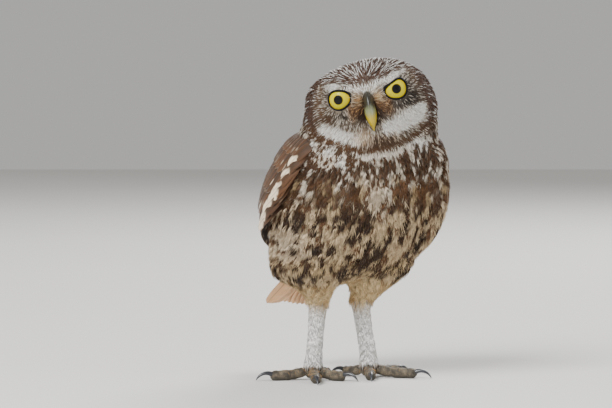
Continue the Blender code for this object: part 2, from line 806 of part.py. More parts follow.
def stand_at_origin(nodes):
    """Shifts every node alike, so that the origin is the middle of the model's box on the floor."""
    corners = [vert.co for node in nodes for vert in node.data.vertices]
    low = Vector([min(c[i] for c in corners) for i in range(3)])
    high = Vector([max(c[i] for c in corners) for i in range(3)])
    shift = Matrix.Translation(Vector((-(low.x + high.x) / 2, -(low.y + high.y) / 2, -low.z)))
    for node in nodes:
        node.data.transform(shift)


def main():
    for obj in list(bpy.data.objects):
        bpy.data.objects.remove(obj)
    nodes = head_neck_torso()
    nodes += eyes_and_bill()
    nodes += [wing(1, "wing_left"), wing(-1, "wing_right")]
    nodes += [tail("tail")]
    nodes += leg("left") + leg("right")
    stand_at_origin(nodes)


main()
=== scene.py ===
"""How the little owl looks: skin, plumage, eyes, bill, feet and claws, on a plain studio floor.

The skin lies inside the plumage, and every tuft grows from it. Numbers are millimetres in the bird's
own frame, as its construction has them, until a mesh is made in metres. The bird's own frame is
(ahead, aside, up): ahead is where the breast points and aside is the bird's left.
"""

import json
import math
from collections import namedtuple

import bmesh
import bpy
import numpy as np
from mathutils import Matrix, Vector

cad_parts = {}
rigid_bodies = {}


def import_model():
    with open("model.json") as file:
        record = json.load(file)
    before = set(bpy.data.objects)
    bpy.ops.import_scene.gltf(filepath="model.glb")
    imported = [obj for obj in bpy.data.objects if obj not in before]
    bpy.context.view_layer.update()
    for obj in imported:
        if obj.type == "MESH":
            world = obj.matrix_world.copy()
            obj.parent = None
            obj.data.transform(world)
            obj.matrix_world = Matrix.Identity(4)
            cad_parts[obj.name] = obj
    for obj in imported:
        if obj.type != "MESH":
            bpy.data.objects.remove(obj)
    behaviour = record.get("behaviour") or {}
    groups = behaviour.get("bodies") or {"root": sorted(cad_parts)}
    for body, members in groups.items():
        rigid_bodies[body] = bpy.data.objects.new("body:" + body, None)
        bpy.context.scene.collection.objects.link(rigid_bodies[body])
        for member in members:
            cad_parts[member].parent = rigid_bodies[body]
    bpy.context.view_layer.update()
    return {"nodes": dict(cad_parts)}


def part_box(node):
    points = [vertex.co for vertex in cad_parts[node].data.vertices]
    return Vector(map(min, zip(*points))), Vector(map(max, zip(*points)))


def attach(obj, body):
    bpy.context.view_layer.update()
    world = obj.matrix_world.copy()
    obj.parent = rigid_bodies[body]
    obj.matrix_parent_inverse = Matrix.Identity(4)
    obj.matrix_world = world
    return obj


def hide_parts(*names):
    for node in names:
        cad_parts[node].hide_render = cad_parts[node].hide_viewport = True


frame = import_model()

MM = 0.001
BODY = "root"
SIDES = {1: "left", -1: "right"}
BODY_TURN = math.radians(22)
AHEAD = np.array((math.sin(BODY_TURN), -math.cos(BODY_TURN), 0))
ASIDE = np.array((math.cos(BODY_TURN), math.sin(BODY_TURN), 0))
UP = np.array((0.0, 0.0, 1.0))

# The head, in its own frame: x to the bird's left, y back from the face, z up.
HEAD_CENTRE = (14, 4.6, 170)
HEAD_ROLL = math.radians(11)
HEAD_TURN = math.radians(-3.7)
HEAD_NOD = math.radians(2)
EYE_SPREAD = 15.7
EYE_HEIGHT = 4.6
EYE_DEPTH = -20.6
EYE_RADIUS = 8.4
EYE_OUTWARD = math.radians(14)
PUPIL_RADIUS = 2.8
IRIS_RADIUS = 7.4

BILL_BASE = (0, -24, 2.5)
BILL_LENGTH = 23
BILL_START = math.radians(12)
BILL_BEND = math.radians(96)
BILL_REACH = 0.72
BILL_DROP = 1.12
# Half widths and depths of the upper bill from the brow to the point
BILL_ROWS = ((2.6, 3.5), (3.4, 5.2), (4.2, 5.8), (4.9, 5.8), (5.0, 5.2), (4.0, 4.2), (2.3, 2.7), (0.5, 0.6))
LOWER_BILL_ROWS = ((25, -9, 4.2), (28.5, -11.5, 3.6), (31, -13.8, 2.4), (32.4, -15.4, 1.0))
NOSTRIL_PLACE = (3.6, -31.4, -0.4)
NOSTRIL_RADIUS = 1.25

ANKLES = {"left": (-6, 12.1, 9), "right": (-6, -24.5, 9)}
# The ball of the foot and its stem in the shank: height over the ankle, and radius.
FOOT_BALL = ((-8, 3.5), (-6, 5.2), (-3.5, 5.7), (-1, 5.2), (3, 4.4), (8, 3.8), (14, 3.0))
# Each toe's heading in degrees, and its length
TOES = {
    "left": {"hind": (150, 12), "inner": (-88, 16), "middle": (-14, 24), "outer": (42, 19)},
    "right": {"hind": (66, 12), "inner": (-30, 16), "middle": (-86, 21), "outer": (-164, 21)},
}
TOE_START = 6.0
TOE_RADIUS = 3.2
TOE_FLAT = 0.6
TOE_ARCH = 2.4
# Shares of a toe's length, and its girth there: the joints and a blunt tip
TOE_STOPS = (0, 0.2, 0.38, 0.55, 0.72, 0.85, 0.92, 0.97, 1)
TOE_GIRTHS = (0.84, 0.94, 0.88, 1.04, 0.9, 1.04, 0.92, 0.64, 0.2)
SCUTE_LENGTH = 2.3
SCUTE_HEIGHT = 0.28
PAD_LENGTH = 4.6
PAD_HEIGHT = 0.35
CLAW_LENGTH = 11
CLAW_RADIUS = 1.7
CLAW_RISE = math.radians(30)
CLAW_SWEEP = math.radians(100)

# Rings of the shell that the folded wings lie on, from the shoulders to the wing tips: the centre
# (ahead, aside, up), the tilt in degrees, the half width, and the depth to the breast and the back.
WING_RINGS = (
    (12, 6, 149, 6, 41, 36, 37),
    (7.5, 4.5, 137, 16, 48.2, 41, 43),
    (1.5, 3.2, 121, 23, 54, 44, 46.5),
    (-7, 2, 105, 29, 57, 45, 46),
    (-18, 0.8, 91, 35, 53.5, 40, 42),
    (-32, 0, 80, 40, 45, 30, 35),
    (-47, -1, 73, 42, 33, 18, 22),
    (-62, -1.5, 67, 42, 21, 8, 11),
    (-77, -2, 61, 42, 11, 3, 5),
)
TORSO_SQUARENESS = 2.15
# The arm and hand in a wing: the rows that they fill, and their front and back edges, as places
# around the shell in degrees, at the first and the last of those rows
WING_CORE_ROWS = (0.25, 6.0)
WING_CORE_LOW = (70, 110)
WING_CORE_HIGH = (174, 144)
# The middle of the trunk: heights, and its places ahead there
TRUNK_HEIGHTS = (45, 61, 80, 104, 134, 172)
TRUNK_MIDDLES = (-50, -40, -22, -6, 7, 13)

TAIL_ROOT = (-40, -1.5, 77)
TAIL_TIP = (-87, -11, 43)
TAIL_HALF_ROOT = 9.5
TAIL_HALF_FAN = 14

# How deep the skin lies under the solids' outline
DEPTHS = {"trunk": 4.0, "head": 2.6, "eye": 0.5, "bill": 0.6, "thigh": 3.0, "shank": 1.5, "foot": 0.6}
# The right flank's loose feathers stand out over the thigh by this much, here.
FLANK_PLACE = (-20, -36, 66)
FLANK_HALF = (15, 20, 10)
FLANK_FULL = 8.0
# The left side's breast feathers stand out over the wing's front edge by this much.
SIDE_FULL = 6.5
# Fuller feathers at the sides of the head: centre and half widths in its own frame, and by how much.
RUFFS = (((-36, 0, 7), (14, 26, 17), 3.4), ((40, 0, -15), (14, 24, 13), 4.4))


def lerp(low, high, share):
    """A value this share of the way from low to high."""
    return low + (high - low) * share


def ease(low, high, value):
    """0 under low and 1 over high, with a smooth rise between them. Low may be the larger."""
    share = np.clip((value - low) / (high - low), 0, 1)
    return share * share * (3 - 2 * share)


def unit(vectors):
    """The vectors at length 1."""
    return vectors / np.maximum(np.linalg.norm(vectors, axis=-1, keepdims=True), 1e-12)


def hill(points, centre, half):
    """A smooth hill of height 1 round a centre, with a half width along each axis."""
    return np.exp(-((((points - np.array(centre)) / np.array(half)) ** 2).sum(axis=-1)))


def mound(x, z, centre, half):
    """A hill over the face with a flat top and steeper sides."""
    return np.exp(-(((x - centre[0]) / half[0]) ** 4) - ((z - centre[1]) / half[1]) ** 4)


def from_line(points, start, end):
    """Distance of each point from a straight line's stretch."""
    start, end = np.array(start, float), np.array(end, float)
    run = end - start
    share = np.clip((points - start) @ run / (run @ run), 0, 1)
    return np.linalg.norm(points - start - share[..., None] * run, axis=-1)


def colour(red, green, blue):
    """A linear colour from the 0 to 255 of a screen."""
    parts = np.array((red, green, blue)) / 255
    return np.where(parts <= 0.04045, parts / 12.92, ((parts + 0.055) / 1.055) ** 2.4)


def place(ahead, aside, up):
    """A point of the bird's own frame, along the world's axes."""
    return (
        np.multiply.outer(np.asarray(ahead, float), AHEAD)
        + np.multiply.outer(np.asarray(aside, float), ASIDE)
        + np.multiply.outer(np.asarray(up, float), UP)
    )


HEAD_PLACE = place(*HEAD_CENTRE)
HEAD_LEANT = Matrix.Rotation(-HEAD_ROLL, 3, "Y") @ Matrix.Rotation(HEAD_NOD, 3, "X")
HEAD_TURNED = np.array(Matrix.Rotation(HEAD_TURN, 3, "Z") @ HEAD_LEANT)


def on_head(local):
    """Points of the head's frame, along the world's axes."""
    return HEAD_PLACE + np.asarray(local, float) @ HEAD_TURNED.T


def eye_place(side):
    return on_head((side * EYE_SPREAD, EYE_DEPTH, EYE_HEIGHT))


def eye_axes(side):
    """The eye's gaze, and the way to the viewer's right and up across it."""
    look = HEAD_TURNED @ np.array((side * math.sin(EYE_OUTWARD), -math.cos(EYE_OUTWARD), 0))
    right = unit(np.cross(UP, look))
    return look, right, np.cross(look, right)


# The open part of each eye round its pupil, seen from the front: the reach to the viewer's left,
# right, up and down, and a straight cut by the brow or the cheek: its direction and distance.
OPENINGS = {
    -1: {"reach": (6.2, 6.6, 4.8, 5.9), "cut": (-50, 5.8)},
    1: {"reach": (6.4, 6.3, 5.9, 5.5), "cut": (128, 4.1)},
}
OPENING_SQUARENESS = 2.3
CUT_SHARPNESS = 7


def opening(side, angle):
    """How far the open part of an eye reaches from its pupil at an angle."""
    left, right, top, bottom = OPENINGS[side]["reach"]
    cos, sin = np.cos(angle), np.sin(angle)
    wide = np.where(cos > 0, right, left)
    high = np.where(sin > 0, top, bottom)
    power = OPENING_SQUARENESS
    reach = ((np.abs(cos) / wide) ** power + (np.abs(sin) / high) ** power) ** (-1 / power)
    heading, far = OPENINGS[side]["cut"]
    facing = np.maximum(np.cos(angle - math.radians(heading)), 0.05)
    return (reach**-CUT_SHARPNESS + (far / facing) ** -CUT_SHARPNESS) ** (-1 / CUT_SHARPNESS)


def on_eye(side, q):
    """Points in the plane across an eye's gaze: the angle and distance from the pupil, and the depth."""
    look, right, over = eye_axes(side)
    offset = q - eye_place(side)
    x, y = offset @ right, offset @ over
    return np.arctan2(y, x), np.hypot(x, y), offset @ look


eye_low, eye_high = (np.array(corner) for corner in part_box("eye_left"))
SHIFT = (eye_low + eye_high) / 2 / MM - eye_place(1)


def metres(points):
    """Millimetre points along the world's axes, as metres in the model's place."""
    return (np.asarray(points) + SHIFT) * MM


def millimetres(points):
    return np.asarray(points) / MM - SHIFT


# Meshes
def placed(name, data):
    """A new object of this data in the scene."""
    made = bpy.data.objects.new(name, data)
    bpy.context.scene.collection.objects.link(made)
    return made


def mesh_object(name, points, faces):
    """An object of metre points and faces."""
    mesh = bpy.data.meshes.new(name)
    mesh.from_pydata(np.asarray(points).tolist(), [], [tuple(face) for face in faces])
    mesh.update()
    return placed(name, mesh)


def joined(parts):
    """One (points, faces) of many."""
    points, faces, count = [], [], 0
    for part_points, part_faces in parts:
        points.append(part_points)
        faces += [tuple(i + count for i in face) for face in part_faces]
        count += len(part_points)
    return np.concatenate(points), faces


def edit(mesh, change, sources=()):
    """Keeps in the mesh what a change makes of it, or of the sources' meshes together."""
    shape = bmesh.new()
    for source in sources or (mesh,):
        shape.from_mesh(source)
    change(shape)
    shape.to_mesh(mesh)
    shape.free()


def turned_out(made, merge=False):
    """The object with its faces outwards, and its double points merged if that is asked for."""

    def change(shape):
        if merge:
            bmesh.ops.remove_doubles(shape, verts=shape.verts, dist=1e-7)
        bmesh.ops.recalc_face_normals(shape, faces=shape.faces)

    edit(made.data, change)
    return made


def finished(made, finish, mapped=False):
    """The object with its faces outwards, a map, its material and a smooth surface."""
    turned_out(made)
    if not mapped:
        unwrap(made)
    made.data.materials.append(finish)
    made.data.shade_smooth()
    return made


def loft(rings):
    """(points, faces) of a skin over rings of equally many points, with a fan over each end."""
    rings = np.asarray(rings)
    rows, sides = rings.shape[:2]
    points = [rings.reshape(-1, 3)]
    k = np.arange(sides)
    after = (k + 1) % sides
    start = (np.arange(rows - 1) * sides)[:, None]
    quads = (start + k, start + after, start + sides + after, start + sides + k)
    faces = np.stack(quads, axis=-1).reshape(-1, 4).tolist()
    for end, (ring, first) in enumerate(((rings[0], 0), (rings[-1], (rows - 1) * sides))):
        points.append(ring.mean(axis=0)[None])
        faces += [(first + a, first + b, rows * sides + end) for a, b in zip(k, after)]
    return np.concatenate(points), faces


def tube_rings(centres, radii, sides):
    """Rings square to a run of centres."""
    centres = np.asarray(centres, float)
    runs = unit(np.gradient(centres, axis=0))
    reference = np.array((0.13, 0.21, 1.0)) if abs(runs[0][2]) < 0.9 else AHEAD
    across = unit(np.cross(runs, reference))
    over = np.cross(runs, across)
    angle = np.arange(sides) * math.tau / sides
    radii = np.asarray(radii, float)[:, None, None]
    return (
        centres[:, None]
        + across[:, None] * radii * np.cos(angle)[:, None]
        + over[:, None] * radii * np.sin(angle)[:, None]
    )


def spline_rows(rows, t):
    """A smooth curve through rows of numbers, read at t rows from the first."""
    rows = np.asarray(rows, float)
    last = len(rows) - 1
    t = np.clip(np.asarray(t, float), 0, last)
    i = np.minimum(t.astype(int), last - 1)
    f = (t - i)[..., None]
    a, b, c, d = (rows[np.clip(i + k, 0, last)] for k in (-1, 0, 1, 2))
    return 0.5 * (2 * b + (c - a) * f + (2 * a - 5 * b + 4 * c - d) * f**2 + (3 * b - a - 3 * c + d) * f**3)


def shell_point(t, around, grow=0.0):
    """A point of the wings' shell: around is 0 at the breast, 90 at the left side, 180 at the back."""
    ahead, aside, up, tilt, wide, front, back = np.moveaxis(spline_rows(WING_RINGS, t), -1, 0)
    angle, tilt = np.radians(around), np.radians(tilt)
    power = 2 / TORSO_SQUARENESS
    cos, sin = np.cos(angle), np.sin(angle)
    depth = np.where(cos > 0, front, back) + grow
    out = np.sign(cos) * np.abs(cos) ** power * depth
    side = np.sign(sin) * np.abs(sin) ** power * (wide + grow)
    return place(ahead + out * np.cos(tilt), aside + side, up - out * np.sin(tilt))


def shell_row(q):
    """The row of the wings' shell, counted from the shoulders, whose tilted plane holds each point."""
    rings = np.array(WING_RINGS)
    tilt = np.radians(rings[:, 3])
    facing = np.outer(np.cos(tilt), UP) + np.outer(np.sin(tilt), AHEAD)
    over = q @ facing.T - (place(*rings[:, :3].T) * facing).sum(axis=1)
    row = np.zeros(len(q))
    for i in range(len(rings) - 1):
        share = np.clip(-over[:, i] / np.maximum(over[:, i + 1] - over[:, i], 1e-6), 0, 1)
        row = np.where(over[:, i] < 0, i + share, row)
    return row


# The camera: a long lens in front of the face, a little above the floor's level
PHOTO_MM = 0.6
PHOTO_SIZE = (612, 408)
AIM = (-29.4, -20, 107.4)
CLIP_END = 20
LENS_MM = 200
SENSOR_MM = 36
CAMERA_RISE = math.radians(3)


def add_camera():
    """The camera at the photo's angle, aimed at the middle of the photo's frame."""
    made = placed("camera", bpy.data.cameras.new("camera"))
    made.data.lens = LENS_MM
    made.data.sensor_width = SENSOR_MM
    made.data.clip_end = CLIP_END
    far = PHOTO_SIZE[0] * PHOTO_MM * MM * LENS_MM / SENSOR_MM
    away = np.array((0, -math.cos(CAMERA_RISE), math.sin(CAMERA_RISE)))
    made.location = metres(AIM) + away * far
    made.rotation_euler = Vector(-away).to_track_quat("-Z", "Y").to_euler()
    bpy.context.scene.camera = made


add_camera()


# Skin
BODY_FLESH = ("eye_left", "eye_right", "head", "neck", "torso")
BODY_FLESH += ("thigh_left", "thigh_right", "shank_left", "shank_right")
SKIN_VOXEL = 1.15
FOOT_VOXEL = 0.42
SEAM_CLOSER = 0.25
LID_THICK = 0.45
LID_INSIDE = 1.0


def mesh_now(source):
    """A plain mesh of what the object's modifiers make."""
    graph = bpy.context.evaluated_depsgraph_get()
    return bpy.data.meshes.new_from_object(source.evaluated_get(graph))


def evaluated(made, name):
    """A plain mesh object of what an object's modifiers make. The first object is removed."""
    mesh = mesh_now(made)
    bpy.data.objects.remove(made)
    result = placed(name, mesh)
    mesh.name = name
    return result


def remeshed(made, voxel):
    """The object as one closed skin of small even faces."""
    fuse = made.modifiers.new("fuse", "REMESH")
    fuse.mode = "VOXEL"
    fuse.voxel_size = voxel * MM
    return evaluated(made, made.name)


def rows_of(data, name, width, kind=float):
    """One property of a mesh's items, as rows this wide."""
    values = np.empty(len(data) * width, kind)
    data.foreach_get(name, values)
    return values.reshape(-1, width)


def points_of(mesh):
    return rows_of(mesh.vertices, "co", 3)


def normals_of(mesh):
    return rows_of(mesh.vertex_normals, "vector", 3)


def edges_of(mesh):
    return rows_of(mesh.edges, "vertices", 2, int)


def corners_of(mesh):
    """The point of each corner of the faces."""
    return rows_of(mesh.loops, "vertex_index", 1, int)[:, 0]


def set_points(mesh, points):
    mesh.vertices.foreach_set("co", np.asarray(points).reshape(-1))
    mesh.update()


def smoothed(values, edges, rounds, share=0.5):
    """Each row of values drawn towards the mean of its neighbours."""
    count = len(values)
    ends = np.concatenate((edges[:, 0], edges[:, 1]))
    others = np.concatenate((edges[:, 1], edges[:, 0]))
    near = np.maximum(np.bincount(ends, minlength=count), 1)[:, None]
    for _ in range(rounds):
        total = np.stack([np.bincount(ends, column[others], count) for column in values.T], axis=1)
        values = lerp(values, total / near, share)
    return values


class Where:
    """Named shares of the body's regions at points of the model."""

    def __init__(self, points, normals):
        q = millimetres(points)
        self.q = q
        self.normal = normals
        self.up = q[:, 2]
        ahead = q @ AHEAD
        self.aside = q @ ASIDE
        self.local = (q - HEAD_PLACE) @ HEAD_TURNED
        x, y, z = self.local.T
        self.x, self.y, self.z = x, y, z
        self.head = ease(-3, 3, z + 23 - 0.3 * y)
        self.face = self.head * ease(2, -5, y + 0.011 * x * x)
        self.eye = np.minimum(*(np.linalg.norm(q - eye_place(side), axis=1) for side in SIDES))
        self.eye_flat = np.hypot(np.abs(x) - EYE_SPREAD, z - EYE_HEIGHT)
        self.bill = from_line(self.local, (0, -26, 3), (0, -31, -13))
        self.leg = ease(-34, -26, ahead) * ease(76, 64, self.up)
        self.shank = ease(50, 45, self.up) * self.leg
        self.foot = ease(12, 8, self.up)
        self.thigh = self.leg * (1 - self.shank)
        self.torso = (1 - self.head) * (1 - self.leg)
        middle = np.interp(self.up, TRUNK_HEIGHTS, TRUNK_MIDDLES)
        self.around = np.degrees(np.arctan2(self.aside, ahead - middle))
        self.row = shell_row(q)
        over = np.abs(self.around)
        first, last = WING_CORE_ROWS
        low = lerp(*WING_CORE_LOW, np.clip((self.row - first) / (last - first), 0, 1))
        self.left_front = ease(34, 52, self.around) * ease(100, 84, self.around)
        self.left_front = self.left_front * ease(64, 98, self.up) * ease(146, 134, self.up)
        low = low + 16 * self.left_front
        self.wing = self.torso * ease(low - 4, low + 3, over) * ease(6.4, 5.6, self.row)
        self.back = self.torso * ease(84, 104, over)
        self.lid = ease(1.15, 0.65, self._past_lid(q))

    @staticmethod
    def _past_lid(q):
        """How far points are outside the open part of the nearer eye."""
        past = np.full(len(q), 99.0)
        for side in SIDES:
            angle, far, depth = on_eye(side, q)
            past = np.where(depth > 0, np.minimum(past, far - opening(side, angle)), past)
        return past


def flesh():
    """The solids of head, trunk and legs, drawn in by the depth of the plumage."""
    mesh = bpy.data.meshes.new("flesh")
    sources = [frame["nodes"][name].data for name in BODY_FLESH]
    edit(mesh, lambda shape: bmesh.ops.remove_doubles(shape, verts=shape.verts, dist=1e-6), sources)
    made = placed("flesh", mesh)
    set_points(mesh, points_of(mesh) + normals_of(mesh) * SEAM_CLOSER * MM)
    made = remeshed(made, SKIN_VOXEL)
    mesh = made.data
    points, edges = points_of(mesh), edges_of(mesh)
    where = Where(points, normals_of(mesh))
    depth = lerp(DEPTHS["trunk"], DEPTHS["head"], where.head)
    depth = lerp(depth, DEPTHS["eye"], where.head * ease(14, 10, where.eye))
    depth = lerp(depth, DEPTHS["bill"], where.head * ease(9, 6, where.bill))
    depth = lerp(depth, DEPTHS["thigh"], where.thigh)
    depth = depth - FLANK_FULL * hill(where.q, place(*FLANK_PLACE), FLANK_HALF)
    depth = depth - SIDE_FULL * where.torso * where.left_front
    for centre, half, full in RUFFS:
        depth = depth - full * hill(where.local, centre, half)
    depth = lerp(depth, DEPTHS["shank"], where.shank)
    depth = lerp(depth, DEPTHS["foot"], where.foot)
    depth = smoothed(depth[:, None] + SEAM_CLOSER, edges, 4)
    steps = 4
    for _ in range(steps):
        normals = unit(smoothed(normals_of(mesh), edges, 6))
        points = points_of(mesh) - normals * depth / steps * MM
        set_points(mesh, smoothed(points, edges, 1, 0.3))
    return made


def wing_flesh(side):
    """The arm and hand under the feathers of a folded wing."""
    steps, across, rings = 24, 14, []
    for i in range(steps + 1):
        share = i / steps
        t = lerp(*WING_CORE_ROWS, share)
        low = lerp(*WING_CORE_LOW, share)
        high = lerp(*WING_CORE_HIGH, max(0.0, (share - 0.62) / 0.38) ** 1.5)
        v = np.linspace(0, 1, across + 1)
        around = side * lerp(low, high, v)
        edge = np.sin(np.pi * v) ** 0.5
        top = -3.6 + 1.0 * (1 - share) ** 2 - 1.6 * (1 - edge)
        thick = 1.6 + (13 - 11.5 * share) * edge
        row = np.full(across + 1, t)
        outer, inner = shell_point(row, around, top), shell_point(row, around, top - thick)
        rings.append(np.concatenate((outer, inner[::-1])))
    points, faces = loft(rings)
    return turned_out(mesh_object("wing_flesh", metres(points), faces), merge=True)


def toe_rings(side, heading, length):
    """The centre line of one toe and its rings, with pads under it and scutes over it."""
    heading, share = math.radians(heading), np.linspace(0, 1, 60)
    out = np.array((math.cos(heading), math.sin(heading), 0))
    base = place(*ANKLES[side]) * (1, 1, 0)
    height = TOE_RADIUS - TOE_FLAT + TOE_ARCH * (1 - share) ** 3 + 0.25 * share
    centres = base + np.outer(TOE_START + length * share, out) + np.outer(height, UP)
    girth = np.interp(share, TOE_STOPS, TOE_GIRTHS)
    girth = np.convolve(np.pad(girth, 2, mode="edge"), np.ones(5) / 5, mode="valid")
    offset = tube_rings(centres, girth * TOE_RADIUS, 24) - centres[:, None]
    over = np.clip(offset[..., 2] / TOE_RADIUS, -1, 1)
    scutes = np.abs(np.sin(np.pi * length / SCUTE_LENGTH * share))[:, None] ** 0.6
    pads = np.sin(np.pi * length / PAD_LENGTH * share + 0.4)[:, None] ** 2
    relief = scutes * np.clip(over, 0, 1) * SCUTE_HEIGHT + pads * np.clip(-over, 0, 1) * PAD_HEIGHT
    return centres, centres[:, None] + offset * (1 + relief[..., None] / TOE_RADIUS)


def feet():
    """The toes and the balls of the feet, as one closed skin for each foot."""
    pieces = []
    heights, radii = zip(*FOOT_BALL)
    for side, toes in TOES.items():
        pieces += [loft(toe_rings(side, *toe)[1]) for toe in toes.values()]
        ankle = place(*ANKLES[side])
        pieces.append(loft(tube_rings([ankle + UP * high for high in heights], radii, 28)))
    points, faces = joined(pieces)
    made = turned_out(mesh_object("feet", metres(points), faces), merge=True)
    made = remeshed(made, FOOT_VOXEL)
    mesh = made.data
    points = smoothed(points_of(mesh), edges_of(mesh), 2, 0.5)
    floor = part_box("toe_left_middle")[0][2]
    points[:, 2] = np.maximum(points[:, 2], floor)
    set_points(mesh, points)
    return made


def shaped_lids(points):
    """The skin's points, drawn over each eye outside its open part and behind it inside."""
    q = millimetres(points)
    for side in SIDES:
        angle, far, depth = on_eye(side, q)
        past = far - opening(side, angle)
        away = q - eye_place(side)
        radius = np.linalg.norm(away, axis=1)
        near = (depth > 0) & (far < 9.5)
        over = np.maximum(radius, EYE_RADIUS + LID_THICK)
        under = np.minimum(radius, EYE_RADIUS - LID_INSIDE)
        target = lerp(under, over, ease(-0.3, 0.5, past))
        q = np.where(near[:, None], eye_place(side) + away / radius[:, None] * target[:, None], q)
    return metres(q)


def make_skin():
    """One closed skin from the head to the toes."""
    body = flesh()
    for side in SIDES:
        arm = wing_flesh(side)
        edit(body.data, lambda shape: None, (body.data, arm.data))
        bpy.data.objects.remove(arm)
    body = remeshed(body, SKIN_VOXEL)
    body.data.name = body.name = "skin"
    edges = edges_of(body.data)
    points = smoothed(points_of(body.data), edges, 6, 0.5)
    bill = from_line((millimetres(points) - HEAD_PLACE) @ HEAD_TURNED, (0, -28, 0), (0, -29, -14))
    points = lerp(points, smoothed(points, edges, 40), ease(11, 7, bill)[:, None])
    set_points(body.data, shaped_lids(points))
    toes = feet()
    join = body.modifiers.new("feet", "BOOLEAN")
    join.operation = "UNION"
    join.object = toes
    join.solver = "MANIFOLD"
    body = evaluated(body, "skin")
    bpy.data.objects.remove(toes)
    edit(body.data, lambda shape: bmesh.ops.triangulate(shape, faces=shape.faces))
    return body


# Colours of the plumage
CROWN_BROWN = colour(88, 62, 47)
DEEP_BROWN = colour(50, 32, 19)
WARM_BROWN = colour(120, 84, 54)
GREY_BROWN = colour(96, 82, 68)
SMOKE = colour(50, 43, 37)
BUFF = colour(192, 146, 92)
CREAM = colour(224, 192, 142)
THIGH_BUFF = colour(250, 220, 168)
PALE_GREY = colour(198, 188, 174)
WHITE = colour(247, 244, 238)
SKIN_OLIVE = colour(98, 92, 80)
WING_BROWN = colour(94, 60, 31)
WING_DEEP = colour(54, 37, 23)
TAIL_BROWN = colour(236, 184, 134)

# The coat of a region: length and width of a feather, its dark and pale colours, the share of
# pale feathers, and how strong the pale spots and the pale margins on a dark one are. A spot below 0
# lifts the painted shade at the feathers' roots instead.
COAT_DEFAULT = dict(length=14.0, width=5.0, dark=DEEP_BROWN, pale=CREAM, share=0.4, spot=0.0, margin=0.5)


def brown(share):
    return lerp(DEEP_BROWN, WARM_BROWN, share)


def cream(share):
    return lerp(CREAM, WHITE, share)


def noise(q, size, seed):
    """Smooth noise from 0 to 1 over points: a few waves in seeded directions."""
    draw = np.random.default_rng(seed)
    total = np.zeros(len(q))
    for _ in range(7):
        way = unit(draw.normal(size=3)) / size * draw.uniform(0.7, 1.5)
        total += np.sin(q @ way * math.tau + draw.uniform(0, math.tau))
    return np.clip(0.5 + total / 5.6, 0, 1)


def ovals(across, up, pitch, half, seed):
    """How far points are inside scattered upright ovals, from 0 to 1."""
    draw = np.random.default_rng(seed)
    shift = draw.uniform(-0.3, 0.3, (32, 32, 2))
    swell = draw.uniform(0.55, 1.3, (32, 32))
    where = np.stack((across, up), 1) / pitch
    inside = np.zeros(len(where))
    for i in (-1, 0, 1):
        for j in (-1, 0, 1):
            cell = np.floor(where) + (i, j)
            column, line = cell.astype(int).T % 32
            centre = cell + 0.5 + shift[column, line]
            centre[:, 1] += 0.5 * (column % 2) - 0.25
            far = (where - centre) * pitch / half / swell[column, line][:, None]
            inside = np.maximum(inside, ease(1.3, 0.75, (far**2).sum(axis=1)))
    return inside


def collar_height(x):
    """The height in the head's frame of the brown collar under the face."""
    return -30.6 + 0.0112 * (x - 3) ** 2


